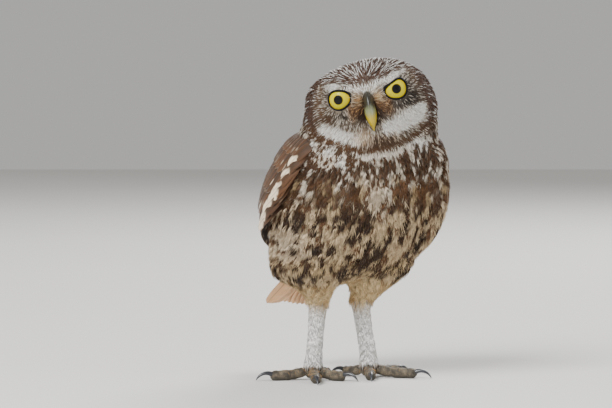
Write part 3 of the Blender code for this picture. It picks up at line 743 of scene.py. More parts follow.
def paint_plumage(w):
    """The coat's fields at points, blended region by region over the default."""
    count = len(w.q)
    field = {
        key: np.full(count, value) if np.isscalar(value) else np.tile(value, (count, 1))
        for key, value in COAT_DEFAULT.items()
    }

    def blend(amount, **values):
        for key, value in values.items():
            weight = amount[:, None] if key in ("dark", "pale") else amount
            field[key] = lerp(field[key], value, weight)

    x, y, z = w.x, w.y, w.z
    side = np.abs(x)
    flat = np.stack((x, z), 1)
    front = w.torso * (1 - w.back)
    round_body = w.around * 0.7
    clump = ovals(round_body, w.up, (7.6, 11.0), (2.1, 4.2), 5)
    blots = ovals(round_body, w.up, (8.5, 14.0), (2.7, 6.6), 21)
    tint = noise(w.q, 21, 8)[:, None]
    # Breast: brown with pale ovals, paler along the middle and down the flanks
    blend(front, share=lerp(0.12, 0.85, clump), margin=0.15, dark=brown(0.3 + 0.5 * tint))
    blend(front * ease(0.5, 0.8, noise(w.q, 11, 44)), dark=lerp(GREY_BROWN, WARM_BROWN, 0.5))
    blend(front, pale=cream(0.6 * ease(84, 118, w.up)[:, None]), length=10.0, width=3.6)
    blend(front * ease(0.45, 0.8, noise(w.q, 14, 31)), pale=lerp(GREY_BROWN, CREAM, 0.55))
    # Belly: pale with dark streaks, and plain buff over the legs
    low = ease(112, 92, w.up) * (front + w.thigh * ease(52, 60, w.up)).clip(0, 1)
    blend(low, length=11.0, width=3.6, share=lerp(0.8, 0.04, blots), pale=cream(0.15))
    blend(low, dark=lerp(WARM_BROWN, DEEP_BROWN, 0.25 + 0.7 * blots[:, None]))
    flank = low * hill(w.q, place(-8, -40, 80), (16, 30, 20))
    blend(flank * 0.7, share=0.9, pale=cream(0.4))
    middle = from_line(w.q, (9, -45, 122), (18, -40, 94))
    blend(front * ease(9, 3, middle), share=0.68 + 0.3 * clump, pale=cream(0.4), length=10.0)
    soft = (front + w.thigh).clip(0, 1) * ease(68, 58, w.up + 0.4 * np.abs(w.aside - 1))
    blend(soft, dark=lerp(BUFF, CREAM, 0.5), pale=THIGH_BUFF, share=0.7, length=10.0, margin=0.0)
    # Back: brown with pairs of white spots
    blend(w.back, length=13.0, width=8.0, dark=brown(0.5), pale=WHITE)
    blend(w.back, share=0.03, spot=0.5 * ease(110, 96, w.up), margin=0.0)
    # Legs: buff thighs, white shanks and olive toes
    plain = w.thigh * ease(58, 50, w.up)
    blend(plain, length=8.5, width=3.0, dark=lerp(BUFF, CREAM, 0.6), pale=THIGH_BUFF, share=0.75)
    bright = lerp(WHITE, np.ones(3), 0.5)
    blend(w.shank, length=5.5, width=1.5, share=0.93, margin=0.0, spot=-1.0)
    blend(w.shank, dark=lerp(PALE_GREY, WHITE, 0.75), pale=bright)
    blend(w.shank * ease(32, 48, w.up), dark=lerp(BUFF, CREAM, 0.6), pale=cream(0.6), share=0.8)
    blend(w.foot * (1 - w.torso), length=2.6, width=0.24, dark=SKIN_OLIVE, pale=BUFF, share=0.4)
    # Head: brown, spotted white at the nape and the sides of the neck
    blend(w.head, length=5.5, width=1.5, dark=CROWN_BROWN, pale=WHITE, share=0.04, spot=0.0, margin=0.0)
    blend(w.head * ease(4, 18, y), length=7.5, width=3.4, share=0.16)
    # Facial disc: grey-brown hair-like feathers, smoky round the eyes
    disc = w.face * ease(37, 33, side) * ease(14, 9, z - 0.13 * side)
    blend(disc, length=4.6, width=0.8, dark=GREY_BROWN, pale=PALE_GREY, share=0.45)
    blend(disc * ease(22, 30, side), dark=lerp(GREY_BROWN, WARM_BROWN, 0.5), pale=PALE_GREY, share=0.4)
    blend(disc * ease(13, 8, w.eye_flat), length=3.2, width=0.6, dark=SMOKE, pale=PALE_GREY, share=0.5)
    for centre, half, dark, share in (
        ((21, -5.0), (7.5, 4.2), SMOKE, 0.1),
        ((25, -3), (9.5, 8), SMOKE, 0.1),
        ((-27.5, -7.0), (5.5, 3.6), lerp(SMOKE, WARM_BROWN, 0.4), 0.05),
        ((-17, -8), (5, 3), SMOKE, 0.35),
    ):
        blend(disc * hill(flat, centre, half), dark=dark, share=share)
    # Brow: a white line over each eye, joined between them
    line = np.abs(z - 9.4 - 0.9 * (x > 0) - 0.14 * side) + 0.5 * (x > 8)
    brow = w.face * ease(2.2, 0.9, line) * ease(27, 21, side)
    blend(brow, length=4.6, width=0.9, dark=PALE_GREY, pale=WHITE, share=0.9)
    between = w.face * hill(flat, (1.5, 8.0), (7.5, 3.8))
    blend(between, dark=PALE_GREY, pale=WHITE, share=0.8, length=4.2, width=0.8)
    under_brow = w.face * hill(np.stack((side, z), 1), (7, 2.5), (3.2, 4.0))
    blend(under_brow, dark=BUFF, pale=CREAM, share=0.7)
    # Lores: buff and brown bristles beside the bill, dark over it and at its corners
    lores = w.face * mound(side, z, (8.2, -6), (4.6, 5.5))
    blend(lores, dark=brown(0.7), pale=BUFF, share=0.3, length=4.5, width=0.5)
    beside_bill = w.face * mound(x, z, (-0.8, -1.5), (6.4, 5.0))
    blend(beside_bill, dark=lerp(SMOKE, DEEP_BROWN, 0.5), share=0.12, width=0.45)
    corner = w.face * mound(side, z, (7.0, -10.0), (3.4, 4.2))
    blend(corner, dark=DEEP_BROWN, share=0.04)
    # Cheeks and chin: white bands from the cheeks down to the throat, creamy under the bill
    for start, end, wide in (((-31, -13), (-13, -23), 3.9), ((32, -12), (10, -19.5), 4.8)):
        cheek = w.face * ease(wide + 1, wide - 1, from_line(flat, start, end))
        blend(cheek, dark=PALE_GREY, pale=WHITE, share=0.93, length=5.5, width=1.4)
    throat = w.face * hill(flat, (-7.5, -22.5), (6, 4.5))
    blend(throat, dark=lerp(BUFF, PALE_GREY, 0.5), pale=cream(0.4), share=0.7, length=5, width=0.7)
    chin = w.face * mound(x, z, (5.0, -27.0), (9.0, 4.2))
    blend(chin, dark=lerp(SMOKE, WARM_BROWN, 0.3), pale=lerp(PALE_GREY, BUFF, 0.5))
    blend(chin, share=0.12, length=4, width=0.6)
    # Neck: a brown collar under the face, a pale band under that, and white blotches beside it
    neck = (1 - w.head) * ease(118, 132, w.up)
    both_parts = (neck + w.head).clip(0, 1) * ease(12, -2, y)
    band = z - collar_height(x)
    blend(neck, length=7.5, width=3.0, share=lerp(0.05, 0.85, clump), pale=cream(0.7))
    below_face = both_parts * ease(1.0, -1.5, band)
    blend(below_face, length=6.5, width=2.2, share=lerp(0.06, 0.7, clump), pale=cream(0.6))
    blend(below_face, dark=brown(0.4))
    pale_band = both_parts * ease(3.3, 2.0, np.abs(band + 4.2)) * ease(27, 15, np.abs(x - 5))
    blend(pale_band, share=0.95, pale=cream(0.7), dark=GREY_BROWN)
    for centre, half in (
        ((-40, -20), (3.0, 2.8)),
        ((-30, -25.5), (4.5, 2.6)),
        ((-24, -34), (2.6, 4)),
        ((25, -33), (5, 5)),
    ):
        blend(both_parts * hill(flat, centre, half), share=0.95, pale=WHITE, dark=GREY_BROWN)
    collar = ease(2.6, 1.2, np.abs(band)) * both_parts
    blend(collar, dark=brown(0.5), share=0.05, margin=0.0)
    field["mark"] = np.stack([field.pop(key) for key in ("share", "spot", "margin")], 1)
    return field


def lie_of(w):
    """The way the feathers point at each point, along the skin."""
    way = np.tile(-UP - 0.35 * AHEAD, (len(w.q), 1))
    way = lerp(way, -UP - 0.9 * AHEAD, w.back[:, None] * 0.6)
    low = w.torso * ease(100, 75, w.up)
    way = lerp(way, -0.7 * UP - 0.8 * AHEAD, low[:, None])
    way = lerp(way, -UP, w.leg[:, None])
    local = unit(w.local - np.array((0, -24, 6)))
    eyes = np.array((0, EYE_DEPTH - 6, EYE_HEIGHT)) + np.outer(np.sign(w.x), (EYE_SPREAD, 0, 0))
    from_eye = unit(w.local - eyes)
    from_bill = unit(w.local - np.array((0, -27, 0)))
    disc = w.face * ease(12, 7, w.z - 0.1 * np.abs(w.x))
    local = lerp(local, lerp(from_bill, from_eye, ease(22, 13, w.eye_flat)[:, None]), disc[:, None])
    lores = disc * ease(12, 8, np.abs(w.x))
    local = lerp(local, from_bill, lores[:, None])
    way = lerp(way, local @ HEAD_TURNED.T, w.head[:, None])
    return unit(way - w.normal * (way * w.normal).sum(axis=-1)[:, None])


def covers(w):
    """Where each piece of the coat grows, from 0 to 1."""
    clear, side = 1 - w.lid, np.abs(w.x)
    face = w.face * ease(15, 12.5, w.z - 0.13 * side)
    beside_bill = face * clear * ease(1.8, 3.0, w.bill)
    crown = w.head * (1 - face) * clear
    quills = w.wing * ease(0.9, 1.3, w.row) * (np.abs(w.around) < 152)
    breast = w.torso * ease(126, 121, w.up) * (1 - w.back) * (1 - w.wing)
    return {
        "face": beside_bill * ease(12.5, 13.5, w.eye_flat),
        "disc": beside_bill * ease(13.5, 12.5, w.eye_flat),
        "crown": crown,
        "streak": crown * lerp(1.0, 0.25, ease(-6, 14, w.y)) * lerp(1.0, 0.2, ease(18, 30, side)),
        "neck": (1 - w.head) * w.torso * ease(114, 119, w.up) * (1 - w.wing),
        "breast_left": breast * (w.aside > 0),
        "breast_right": breast * (w.aside <= 0),
        "mantle": w.torso * w.back * ease(126, 121, w.up) * (1 - quills),
        "thigh": w.thigh,
        "shank": w.shank * ease(8, 10, w.up),
        "toe": w.foot * ease(4, 5, w.up) * ease(11, 9, w.up),
    }


def store(mesh, name, kind, values):
    """A named attribute on the mesh's points."""
    made = mesh.attributes.new(name, kind, "POINT")
    if kind == "FLOAT_COLOR":
        values = np.concatenate((values, np.ones((len(values), 1))), axis=1)
    slot = {"FLOAT_COLOR": "color", "FLOAT_VECTOR": "vector", "FLOAT": "value"}[kind]
    made.data.foreach_set(slot, np.ascontiguousarray(values).reshape(-1))


def store_map(mesh, flat):
    """The map that a piece's baked colours use, from a place for each point."""
    mesh.uv_layers.new(name="OFBake").data.foreach_set("uv", flat[corners_of(mesh)].reshape(-1))


def unwrap(made):
    """The piece's own unwrap, as the map that its baked colours use."""
    made.data.uv_layers.new(name="OFBake")
    bpy.context.view_layer.objects.active = made
    made.select_set(True)
    bpy.ops.object.mode_set(mode="EDIT")
    bpy.ops.mesh.select_all(action="SELECT")
    bpy.ops.uv.smart_project(angle_limit=math.radians(66), island_margin=0.002)
    bpy.ops.object.mode_set(mode="OBJECT")
    made.select_set(False)


# A feather takes its colours from the place this share of its length past its root
TIP_SHARE = 0.8


def describe_skin(made):
    """Stores on the skin what the coat reads from it."""
    mesh = made.data
    edges = edges_of(mesh)
    normals = unit(smoothed(normals_of(mesh), edges, 10))
    points = points_of(mesh)
    w = Where(points, normals)
    lie = lie_of(w)
    field = paint_plumage(w)
    shown = Where(points + lie * (field["length"] * TIP_SHARE * MM)[:, None], normals)
    shown.head, shown.leg, shown.thigh, shown.shank, shown.foot = w.head, w.leg, w.thigh, w.shank, w.foot
    painted = paint_plumage(shown)
    field.update({name: painted[name] for name in ("dark", "pale", "mark")})
    for name, values in field.items():
        kind = {"dark": "FLOAT_COLOR", "pale": "FLOAT_COLOR", "mark": "FLOAT_VECTOR"}.get(name, "FLOAT")
        store(mesh, name, kind, values)
    store(mesh, "lie", "FLOAT_VECTOR", lie)
    store(mesh, "outward", "FLOAT_VECTOR", normals)
    for name, values in covers(w).items():
        store(mesh, "cover_" + name, "FLOAT", values)


# Trees of nodes written as expressions
def operator(operation, turned=False):
    """An operator of Socket, which adds a Math node. Turned puts the other value first."""

    def apply(self, *other):
        return self.sheet.math(operation, *((*other, self) if turned else (self, *other)))

    return apply


class Socket:
    """A socket whose arithmetic adds Math nodes to its tree."""

    def __init__(self, sheet, socket):
        self.sheet = sheet
        self.socket = socket

    __add__ = operator("ADD")
    __radd__ = operator("ADD", True)
    __sub__ = operator("SUBTRACT")
    __rsub__ = operator("SUBTRACT", True)
    __mul__ = operator("MULTIPLY")
    __rmul__ = operator("MULTIPLY", True)
    __truediv__ = operator("DIVIDE")
    __rtruediv__ = operator("DIVIDE", True)
    __pow__ = operator("POWER")
    __abs__ = operator("ABSOLUTE")


class Sheet:
    """A node tree, and the one way to add a node to it."""

    def __init__(self, tree):
        self.tree = tree

    def add(self, kind, settings=None, inputs=None, output=0):
        """A node of this type: its settings first, then its sockets. Gives one output, or the node."""
        node = self.tree.nodes.new(kind)
        for name, value in (settings or {}).items():
            setattr(node, name, value)
        for key, value in (inputs or {}).items():
            self.fill(node.inputs[key], value)
        return node if output is None else Socket(self, node.outputs[output])

    def fill(self, socket, value):
        """Links or sets a socket."""
        if isinstance(value, Socket):
            self.tree.links.new(value.socket, socket)
        else:
            socket.default_value = value

    def feed(self, **inputs):
        """Fills sockets of the Principled shader, named with underscores for spaces."""
        for name, value in inputs.items():
            self.fill(self.tree.nodes["Principled BSDF"].inputs[name.replace("_", " ")], value)

    def math(self, operation, *values):
        return self.add("ShaderNodeMath", {"operation": operation}, dict(enumerate(values)))

    def vector(self, operation, *values, output=0):
        inputs = dict(enumerate(values))
        return self.add("ShaderNodeVectorMath", {"operation": operation}, inputs, output)

    def scaled(self, vector, by):
        return self.add("ShaderNodeVectorMath", {"operation": "SCALE"}, {0: vector, "Scale": by})

    def joined(self, **values):
        """A vector of x, y and z."""
        inputs = {name.upper(): value for name, value in values.items()}
        return self.add("ShaderNodeCombineXYZ", None, inputs)

    def read(self, name, output="Fac"):
        """An attribute of the mesh in a material."""
        return self.add("ShaderNodeAttribute", {"attribute_name": name}, output=output)

    def parts(self, vector):
        node = self.add("ShaderNodeSeparateXYZ", None, {0: vector}, output=None)
        return [Socket(self, out) for out in node.outputs]

    def place(self):
        """The place on the object."""
        return self.add("ShaderNodeTexCoord", output="Object")

    def mix(self, share, one, other, blend="MIX"):
        """A colour this share of the way from one to the other."""
        one, other = (c if isinstance(c, Socket) else (*map(float, c), 1.0) for c in (one, other))
        settings = {"data_type": "RGBA", "blend_type": blend, "clamp_factor": True}
        return self.add("ShaderNodeMix", settings, {0: share, 6: one, 7: other}, output=2)

    def shaded(self, base, shade):
        """A colour made darker by a grey."""
        grey = self.add("ShaderNodeCombineColor", None, {0: shade, 1: shade, 2: shade})
        return self.mix(1.0, base, grey, "MULTIPLY")

    def clamp(self, value):
        return self.add("ShaderNodeClamp", None, {0: value})

    def rise(self, value, low, high):
        """0 under low and 1 over high, with a smooth rise between them."""
        settings = {"interpolation_type": "SMOOTHSTEP"}
        return self.add("ShaderNodeMapRange", settings, {0: value, 1: low, 2: high, 3: 0.0, 4: 1.0})

    def noise(self, where, scale, detail=2.0):
        inputs = {"Vector": where, "Scale": scale, "Detail": detail, "Roughness": 0.5}
        return self.add("ShaderNodeTexNoise", None, inputs)

    def bump(self, height, strength, distance=0.0002):
        inputs = {"Strength": strength, "Distance": distance, "Height": height}
        return self.add("ShaderNodeBump", None, inputs)


def new_material(name):
    """A material and its sheet."""
    made = bpy.data.materials.new(name)
    made.use_nodes = True
    return made, Sheet(made.node_tree)


def plumage_material():
    """Small feathers in their region's dark or pale, with spots, margins, barbs, and roots darkened partly
    by their grey down and partly by painted shade.
    """
    made, sheet = new_material("plumage")
    across, along, _ = sheet.parts(sheet.read("vane", "Vector"))
    share, spot, margin = sheet.parts(sheet.read("mark", "Vector"))
    chance = sheet.read("chance")
    wide = abs(across)
    pale = sheet.rise(share - chance, -0.06, 0.06)
    margins = sheet.rise(wide, 0.45, 0.8) * margin
    pair = ((wide - 0.48) * 2.2) ** 2.0 + ((along - 0.8) * 5.0) ** 2.0
    spots = sheet.rise(pair, 1.0, 0.55) * spot
    pale = sheet.clamp(pale + (1 - pale) * sheet.clamp(margins + spots))
    base = sheet.mix(pale, sheet.read("dark", "Color"), sheet.read("pale", "Color"))
    grain = sheet.noise(sheet.place(), 900.0)
    # Painted shade: each feather darkens towards its root, to 0.55 of its colour. This is partly its grey
    # down and partly the shadow of the feathers over it. A spot below 0 lifts it, as on the shanks. The
    # rest of the shade is fine grain and random tone.
    root = 0.55 + 0.4 * sheet.clamp(0.0 - spot)
    shade = (0.66 + 0.4 * grain + 0.2 * chance) * (root + (1.0 - root) * sheet.rise(along, 0.0, 0.6))
    base = sheet.shaded(base, sheet.clamp(shade))
    barbs = sheet.math("SINE", (along - wide * 0.6) * 70.0)
    sheet.feed(Base_Color=base, Roughness=0.8, Normal=sheet.bump(barbs, 0.35), Specular_IOR_Level=0.15)
    sheet.feed(Sheen_Weight=0.08, Sheen_Roughness=0.4)
    return made


def skin_material():
    """Down under the feathers in their colours, darkened with painted shade above the shanks, and scaly
    skin on the toes.
    """
    made, sheet = new_material("skin")
    share = sheet.parts(sheet.read("mark", "Vector"))[0]
    where = sheet.place()
    fluff = sheet.noise(where, 1100.0, 3.0)
    pale = sheet.clamp(share * 0.8 + fluff * 0.3 - 0.1)
    down = sheet.mix(pale, sheet.read("dark", "Color"), sheet.read("pale", "Color"))
    height = sheet.parts(where)[2]
    toe = sheet.rise(height, 0.0125, 0.0095)
    cells = {"Vector": where, "Scale": 1300.0}
    cells = sheet.add("ShaderNodeTexVoronoi", {"feature": "DISTANCE_TO_EDGE"}, cells)
    lines = sheet.rise(cells, 0.0, 0.14)
    patches = sheet.noise(where, 260.0, 3.0)
    scaly = sheet.mix(sheet.rise(patches, 0.35, 0.65), colour(60, 54, 44), colour(124, 110, 88))
    scaly = sheet.mix(lines, colour(50, 44, 36), scaly)
    scaly = sheet.mix(sheet.rise(height, 0.0028, 0.0008), scaly, colour(60, 54, 44))
    # Painted shade: above about 5 to 6 cm the down is darkened to 0.45 of its colour, so the gaps between
    # the feathers read as shadow. Lower, on the shanks and toes, it keeps its colour.
    under = sheet.mix(sheet.rise(height, 0.062, 0.05), (0.45, 0.42, 0.38), (1.0, 0.99, 0.97))
    down = sheet.mix(1.0, down, under, "MULTIPLY")
    bump = sheet.bump(lines * toe + fluff * 0.4, 0.6, 0.0003)
    sheet.feed(Base_Color=sheet.mix(toe, down, scaly), Roughness=0.9 - toe * 0.3, Normal=bump)
    return made


# The coat
LOCK_STOPS = (0, 0.4, 0.7, 1)
LOCK_WIDTHS = (0.7, 1.0, 0.8, 0.2)
VANE_STOPS = (0, 0.25, 0.55, 0.8, 0.93, 1)
VANE_WIDTHS = (0.35, 0.75, 1.0, 0.92, 0.62, 0.16)
ROOT_SINK = 0.02
TEMPLATES = 5


def lock(length, width, root, lean, lift, rows=2):
    """(points, faces) of one closed three-sided lock along +X, from a root (x, y), bent sideways."""
    share = np.arange(rows) / rows
    half = width / 2 * np.interp(share, LOCK_STOPS, LOCK_WIDTHS)
    x = root[0] + length * share
    y = root[1] + lean * share**1.6
    z = lift * (1 - (1 - share) ** 2) - ROOT_SINK
    corners = ((x, y - half, z), (x, y + half, z), (x, y, z + 0.35 * half))
    rings = np.stack([np.stack(corner, 1) for corner in corners], axis=1)
    points = np.concatenate((rings.reshape(-1, 3), [(root[0] + length, root[1] + lean, lift * 0.98)]))
    faces = [(0, 2, 1)]
    for r in range(rows - 1):
        for k in range(3):
            a, b = r * 3 + k, r * 3 + (k + 1) % 3
            faces.append((a, b, b + 3, a + 3))
    last = (rows - 1) * 3
    faces += [(last + k, last + (k + 1) % 3, rows * 3) for k in range(3)]
    return points, faces


def tuft(draw, locks, spread, width, ragged):
    """(points, faces) of a fan of locks, one long and two wide at scale 1."""
    parts = []
    for i in range(locks):
        beside = (i / (locks - 1) - 0.5) * 2
        root = (draw.uniform(0, 0.22), beside * 0.3 + draw.uniform(-0.08, 0.08))
        reach = 1 - root[0] - 0.22 * beside**2 - draw.uniform(0, ragged)
        lean = beside * spread + draw.uniform(-0.2, 0.2)
        parts.append(lock(reach, width * draw.uniform(0.8, 1.2), root, lean, draw.uniform(0.6, 1.0)))
    return joined(parts)


def vane_patch(draw, rows=6):
    """(points, faces) of a closed vane with a round tip, one long and two wide at scale 1."""
    share = np.linspace(0, 1, rows + 1)
    half = np.interp(share, VANE_STOPS, VANE_WIDTHS) * (1 + draw.uniform(-0.05, 0.05, rows + 1))
    rings = []
    for x, wide in zip(share, half):
        z = 0.95 * (1 - (1 - x) ** 2) - ROOT_SINK
        bend = draw.uniform(-0.03, 0.03)
        top = [(x - 0.05 * abs(v), v * wide + bend, z + 0.22 * (1 - v * v)) for v in (-1, -0.5, 0, 0.5, 1)]
        rings.append(top[::-1])
    return loft(rings)


def template(name, points, faces):
    """One small feather that the coat repeats, with its own across and along."""
    made = turned_out(mesh_object(name, points, faces), merge=True)
    local = points_of(made.data)
    vane = np.stack((local[:, 1], local[:, 0], np.zeros(len(local))), 1)
    store(made.data, "vane", "FLOAT_VECTOR", vane)
    made.data.shade_smooth()
    return made


def templates():
    """A collection of feather shapes for each kind of coat."""
    draw = np.random.default_rng(7)
    kinds = {
        "tufts": lambda: tuft(draw, 12, 0.6, 0.27, 0.4),
        "wisps": lambda: tuft(draw, 5, 0.5, 0.5, 0.3),
        "bristles": lambda: lock(1, 1.4, (0, 0), draw.uniform(-0.5, 0.5), 1.0),
        "slivers": lambda: lock(1, draw.uniform(0.4, 0.65), (0, 0), draw.uniform(-0.5, 0.5), 1.0),
        "vanes": lambda: vane_patch(draw),
    }
    made = {}
    for kind, shape in kinds.items():
        group = bpy.data.collections.new(kind)
        bpy.context.scene.collection.children.link(group)
        for i in range(TEMPLATES):
            one = template(f"{kind}_{i}", *shape())
            bpy.context.scene.collection.objects.unlink(one)
            group.objects.link(one)
        made[kind] = group
    return made


# The inputs of the coat's tree and their kinds
TREE_INPUTS = {
    "Geometry": "Geometry",
    "Feathers": "Collection",
    "Cover": "String",
    "Spacing": "Float",
    "Thickness": "Float",
    "Turn": "Float",
    "Scale": "Float",
    "Chance": "Float",
    "Seed": "Int",
    "Material": "Material",
}
# How many roots are drawn for each square of the spacing, before the ones too close are dropped
POINTS_TO_DRAW = 5.0
# How far a feather's point may be drawn along the skin's shape, in metres
FARTHEST_PULL = 0.004


def coat_tree():
    """The tree that grows a coat: seeded roots on the skin, a feather on each, drawn onto its shape."""
    tree = bpy.data.node_groups.new("coat", "GeometryNodeTree")
    tree.interface.new_socket("Geometry", in_out="OUTPUT", socket_type="NodeSocketGeometry")
    for name, kind in TREE_INPUTS.items():
        tree.interface.new_socket(name, in_out="INPUT", socket_type="NodeSocket" + kind)
    sheet = Sheet(tree)
    group = sheet.add("NodeGroupInput", output=None)
    given = {out.name: Socket(sheet, out) for out in group.outputs if out.name}
    skin = given["Geometry"]

    def named(name, kind="FLOAT"):
        return sheet.add("GeometryNodeInputNamedAttribute", {"data_type": kind}, {"Name": name})

    def random(low, high, seed):
        inputs = {2: low, 3: high, "Seed": seed}
        return sheet.add("FunctionNodeRandomValue", {"data_type": "FLOAT"}, inputs, output=1)

    def stored(geometry, name, kind, value):
        settings = {"data_type": kind, "domain": "POINT"}
        inputs = {"Geometry": geometry, "Name": name, "Value": value}
        return sheet.add("GeometryNodeStoreNamedAttribute", settings, inputs)

    spread = {
        "Mesh": skin,
        "Distance Min": given["Spacing"],
        "Density Max": POINTS_TO_DRAW / (given["Spacing"] * given["Spacing"]),
        "Density Factor": named(given["Cover"]),
        "Seed": given["Seed"],
    }
    points = sheet.add("GeometryNodeDistributePointsOnFaces", {"distribute_method": "POISSON"}, spread)
    position = sheet.add("GeometryNodeInputPosition")
    points = stored(points, "root", "FLOAT_VECTOR", position)
    points = stored(points, "chance", "FLOAT", random(0.0, 1.0, 11) * given["Chance"])
    shapes = {"Collection": given["Feathers"], "Separate Children": True, "Reset Children": True}
    shapes = sheet.add("GeometryNodeCollectionInfo", None, shapes)
    lie = named("lie", "FLOAT_VECTOR")
    normal = named("outward", "FLOAT_VECTOR")
    axes = {"primary_axis": "Z", "secondary_axis": "X"}
    facing = {"Primary Axis": normal, "Secondary Axis": lie}
    facing = sheet.add("FunctionNodeAxesToRotation", axes, facing)
    spin = sheet.joined(z=random(-1.0, 1.0, 12) * given["Turn"])
    spin = sheet.add("FunctionNodeEulerToRotation", None, {0: spin})
    facing = sheet.add("FunctionNodeRotateRotation", {"rotation_space": "LOCAL"}, {0: facing, 1: spin})
    swell = random(0.76, 1.24, 13) * given["Scale"]
    size = sheet.joined(
        x=named("length") * swell * MM,
        y=named("width") * swell * (MM / 2),
        z=given["Thickness"] * random(0.6, 1.3, 14),
    )
    choice = {4: 0, 5: TEMPLATES - 1, "Seed": 15}
    choice = sheet.add("FunctionNodeRandomValue", {"data_type": "INT"}, choice, output=2)
    grown = {
        "Points": points,
        "Instance": shapes,
        "Pick Instance": True,
        "Instance Index": choice,
        "Rotation": facing,
        "Scale": size,
    }
    grown = sheet.add("GeometryNodeInstanceOnPoints", None, grown)
    grown = sheet.add("GeometryNodeRealizeInstances", None, {"Geometry": grown})
    # Each point keeps its height over the root's tangent plane, over the skin's own shape instead
    root = named("root", "FLOAT_VECTOR")
    height = sheet.vector("DOT_PRODUCT", sheet.vector("SUBTRACT", position, root), normal, output="Value")
    under = sheet.vector("SUBTRACT", position, sheet.scaled(normal, height))
    near = {0: skin, "Sample Position": under}
    near = sheet.add("GeometryNodeProximity", {"target_element": "FACES"}, near)
    outward = {"Mesh": skin, "Value": normal, "Sample Position": under}
    outward = sheet.add("GeometryNodeSampleNearestSurface", {"data_type": "FLOAT_VECTOR"}, outward)
    pull = sheet.vector("SUBTRACT", near, under)
    reach = sheet.vector("LENGTH", pull, output="Value")
    pull = sheet.scaled(pull, sheet.math("MINIMUM", 1.0, FARTHEST_PULL / (reach + 0.00001)))
    settled = sheet.vector("ADD", sheet.vector("ADD", under, pull), sheet.scaled(outward, height))
    laid = sheet.add("GeometryNodeSetPosition", None, {"Geometry": grown, "Position": settled})
    laid = sheet.add("GeometryNodeRealizeInstances", None, {"Geometry": laid})
    dressed = {"Geometry": laid, "Material": given["Material"]}
    dressed = sheet.add("GeometryNodeSetMaterial", None, dressed)
    sheet.add("NodeGroupOutput", None, {0: dressed}, output=None)
    return tree


def grow(name, tree, source, **inputs):
    """The plain mesh that the tree makes of the source with these inputs."""
    modifier = source.modifiers.new(name, "NODES")
    modifier.node_group = tree
    for item in tree.interface.items_tree:
        key = item.name.lower()
        if item.in_out == "INPUT" and key in inputs:
            modifier[item.identifier] = inputs[key]
    mesh = mesh_now(source)
    source.modifiers.clear()
    made = placed(name, mesh)
    mesh.name = name
    return made


TUFT_PATCH = 0.003
FIRST_SEED = 3
SPARE = ("lie", "outward", "length", "width", "root")
# Each piece of the coat: where it grows, its feather shapes, their spacing, thickness and random
# turn, their scale, and the highest chance, where 0 makes every feather pale.
COATS = {
    "face_bristles": ("face", "wisps", 0.68, 0.75, 0.22, 1.0, 1.0),
    "disc_bristles": ("disc", "wisps", 0.62, 0.6, 0.25, 1.0, 1.0),
    "crown_feathers": ("crown", "tufts", 1.75, 1.2, 0.2, 1.15, 1.0),
    "crown_streaks": ("streak", "slivers", 1.75, 1.45, 0.25, 1.05, 0.0),
    "neck_feathers": ("neck", "tufts", 1.6, 2.6, 0.3, 1.0, 1.0),
    "breast_feathers_left": ("breast_left", "tufts", 1.65, 3.2, 0.32, 1.0, 1.0),
    "breast_feathers_right": ("breast_right", "tufts", 1.65, 3.2, 0.32, 1.0, 1.0),
    "mantle_feathers": ("mantle", "vanes", 3.4, 2.6, 0.12, 1.0, 1.0),
    "thigh_feathers": ("thigh", "tufts", 1.6, 2.4, 0.25, 1.0, 1.0),
    "shank_feathers": ("shank", "wisps", 0.82, 0.8, 0.16, 1.25, 1.0),
    "toe_bristles": ("toe", "bristles", 1.9, 0.8, 0.3, 1.0, 1.0),
}


def map_tufts(made):
    """Gives each tuft its patch of the skin's unwrap, where its root is."""
    mesh = made.data
    corners = corners_of(mesh)
    vane = rows_of(mesh.attributes["vane"].data, "vector", 3)
    offset = (vane[:, :2] - (0, 0.5)) * TUFT_PATCH / 2
    layer = mesh.attributes["OFBake"]
    root = rows_of(layer.data, "vector", 2)
    if layer.domain == "POINT":
        root = root[corners]
    mesh.attributes.remove(layer)
    flat = mesh.uv_layers.new(name="OFBake")
    flat.data.foreach_set("uv", (root + offset[corners]).reshape(-1))
    for spare in [a.name for a in mesh.attributes if a.name in SPARE or a.name.startswith("cover_")]:
        mesh.attributes.remove(mesh.attributes[spare])


def make_coat(skin):
    """Every piece of the coat, grown from the skin."""
    tree, shapes, finish = coat_tree(), templates(), plumage_material()
    pieces = []
    for seed, (name, (cover, shape, spacing, thickness, turn, scale, chance)) in enumerate(COATS.items()):
        made = grow(
            name,
            tree,
            skin,
            feathers=shapes[shape],
            cover="cover_" + cover,
            spacing=spacing * MM,
            thickness=thickness * MM,
            turn=turn,
            scale=scale,
            chance=chance,
            seed=seed + FIRST_SEED,
            material=finish,
        )
        map_tufts(made)
        pieces.append(made)
    for group in shapes.values():
        for one in list(group.objects):
            bpy.data.objects.remove(one)
        bpy.data.collections.remove(group)
    bpy.data.node_groups.remove(tree)
    return pieces


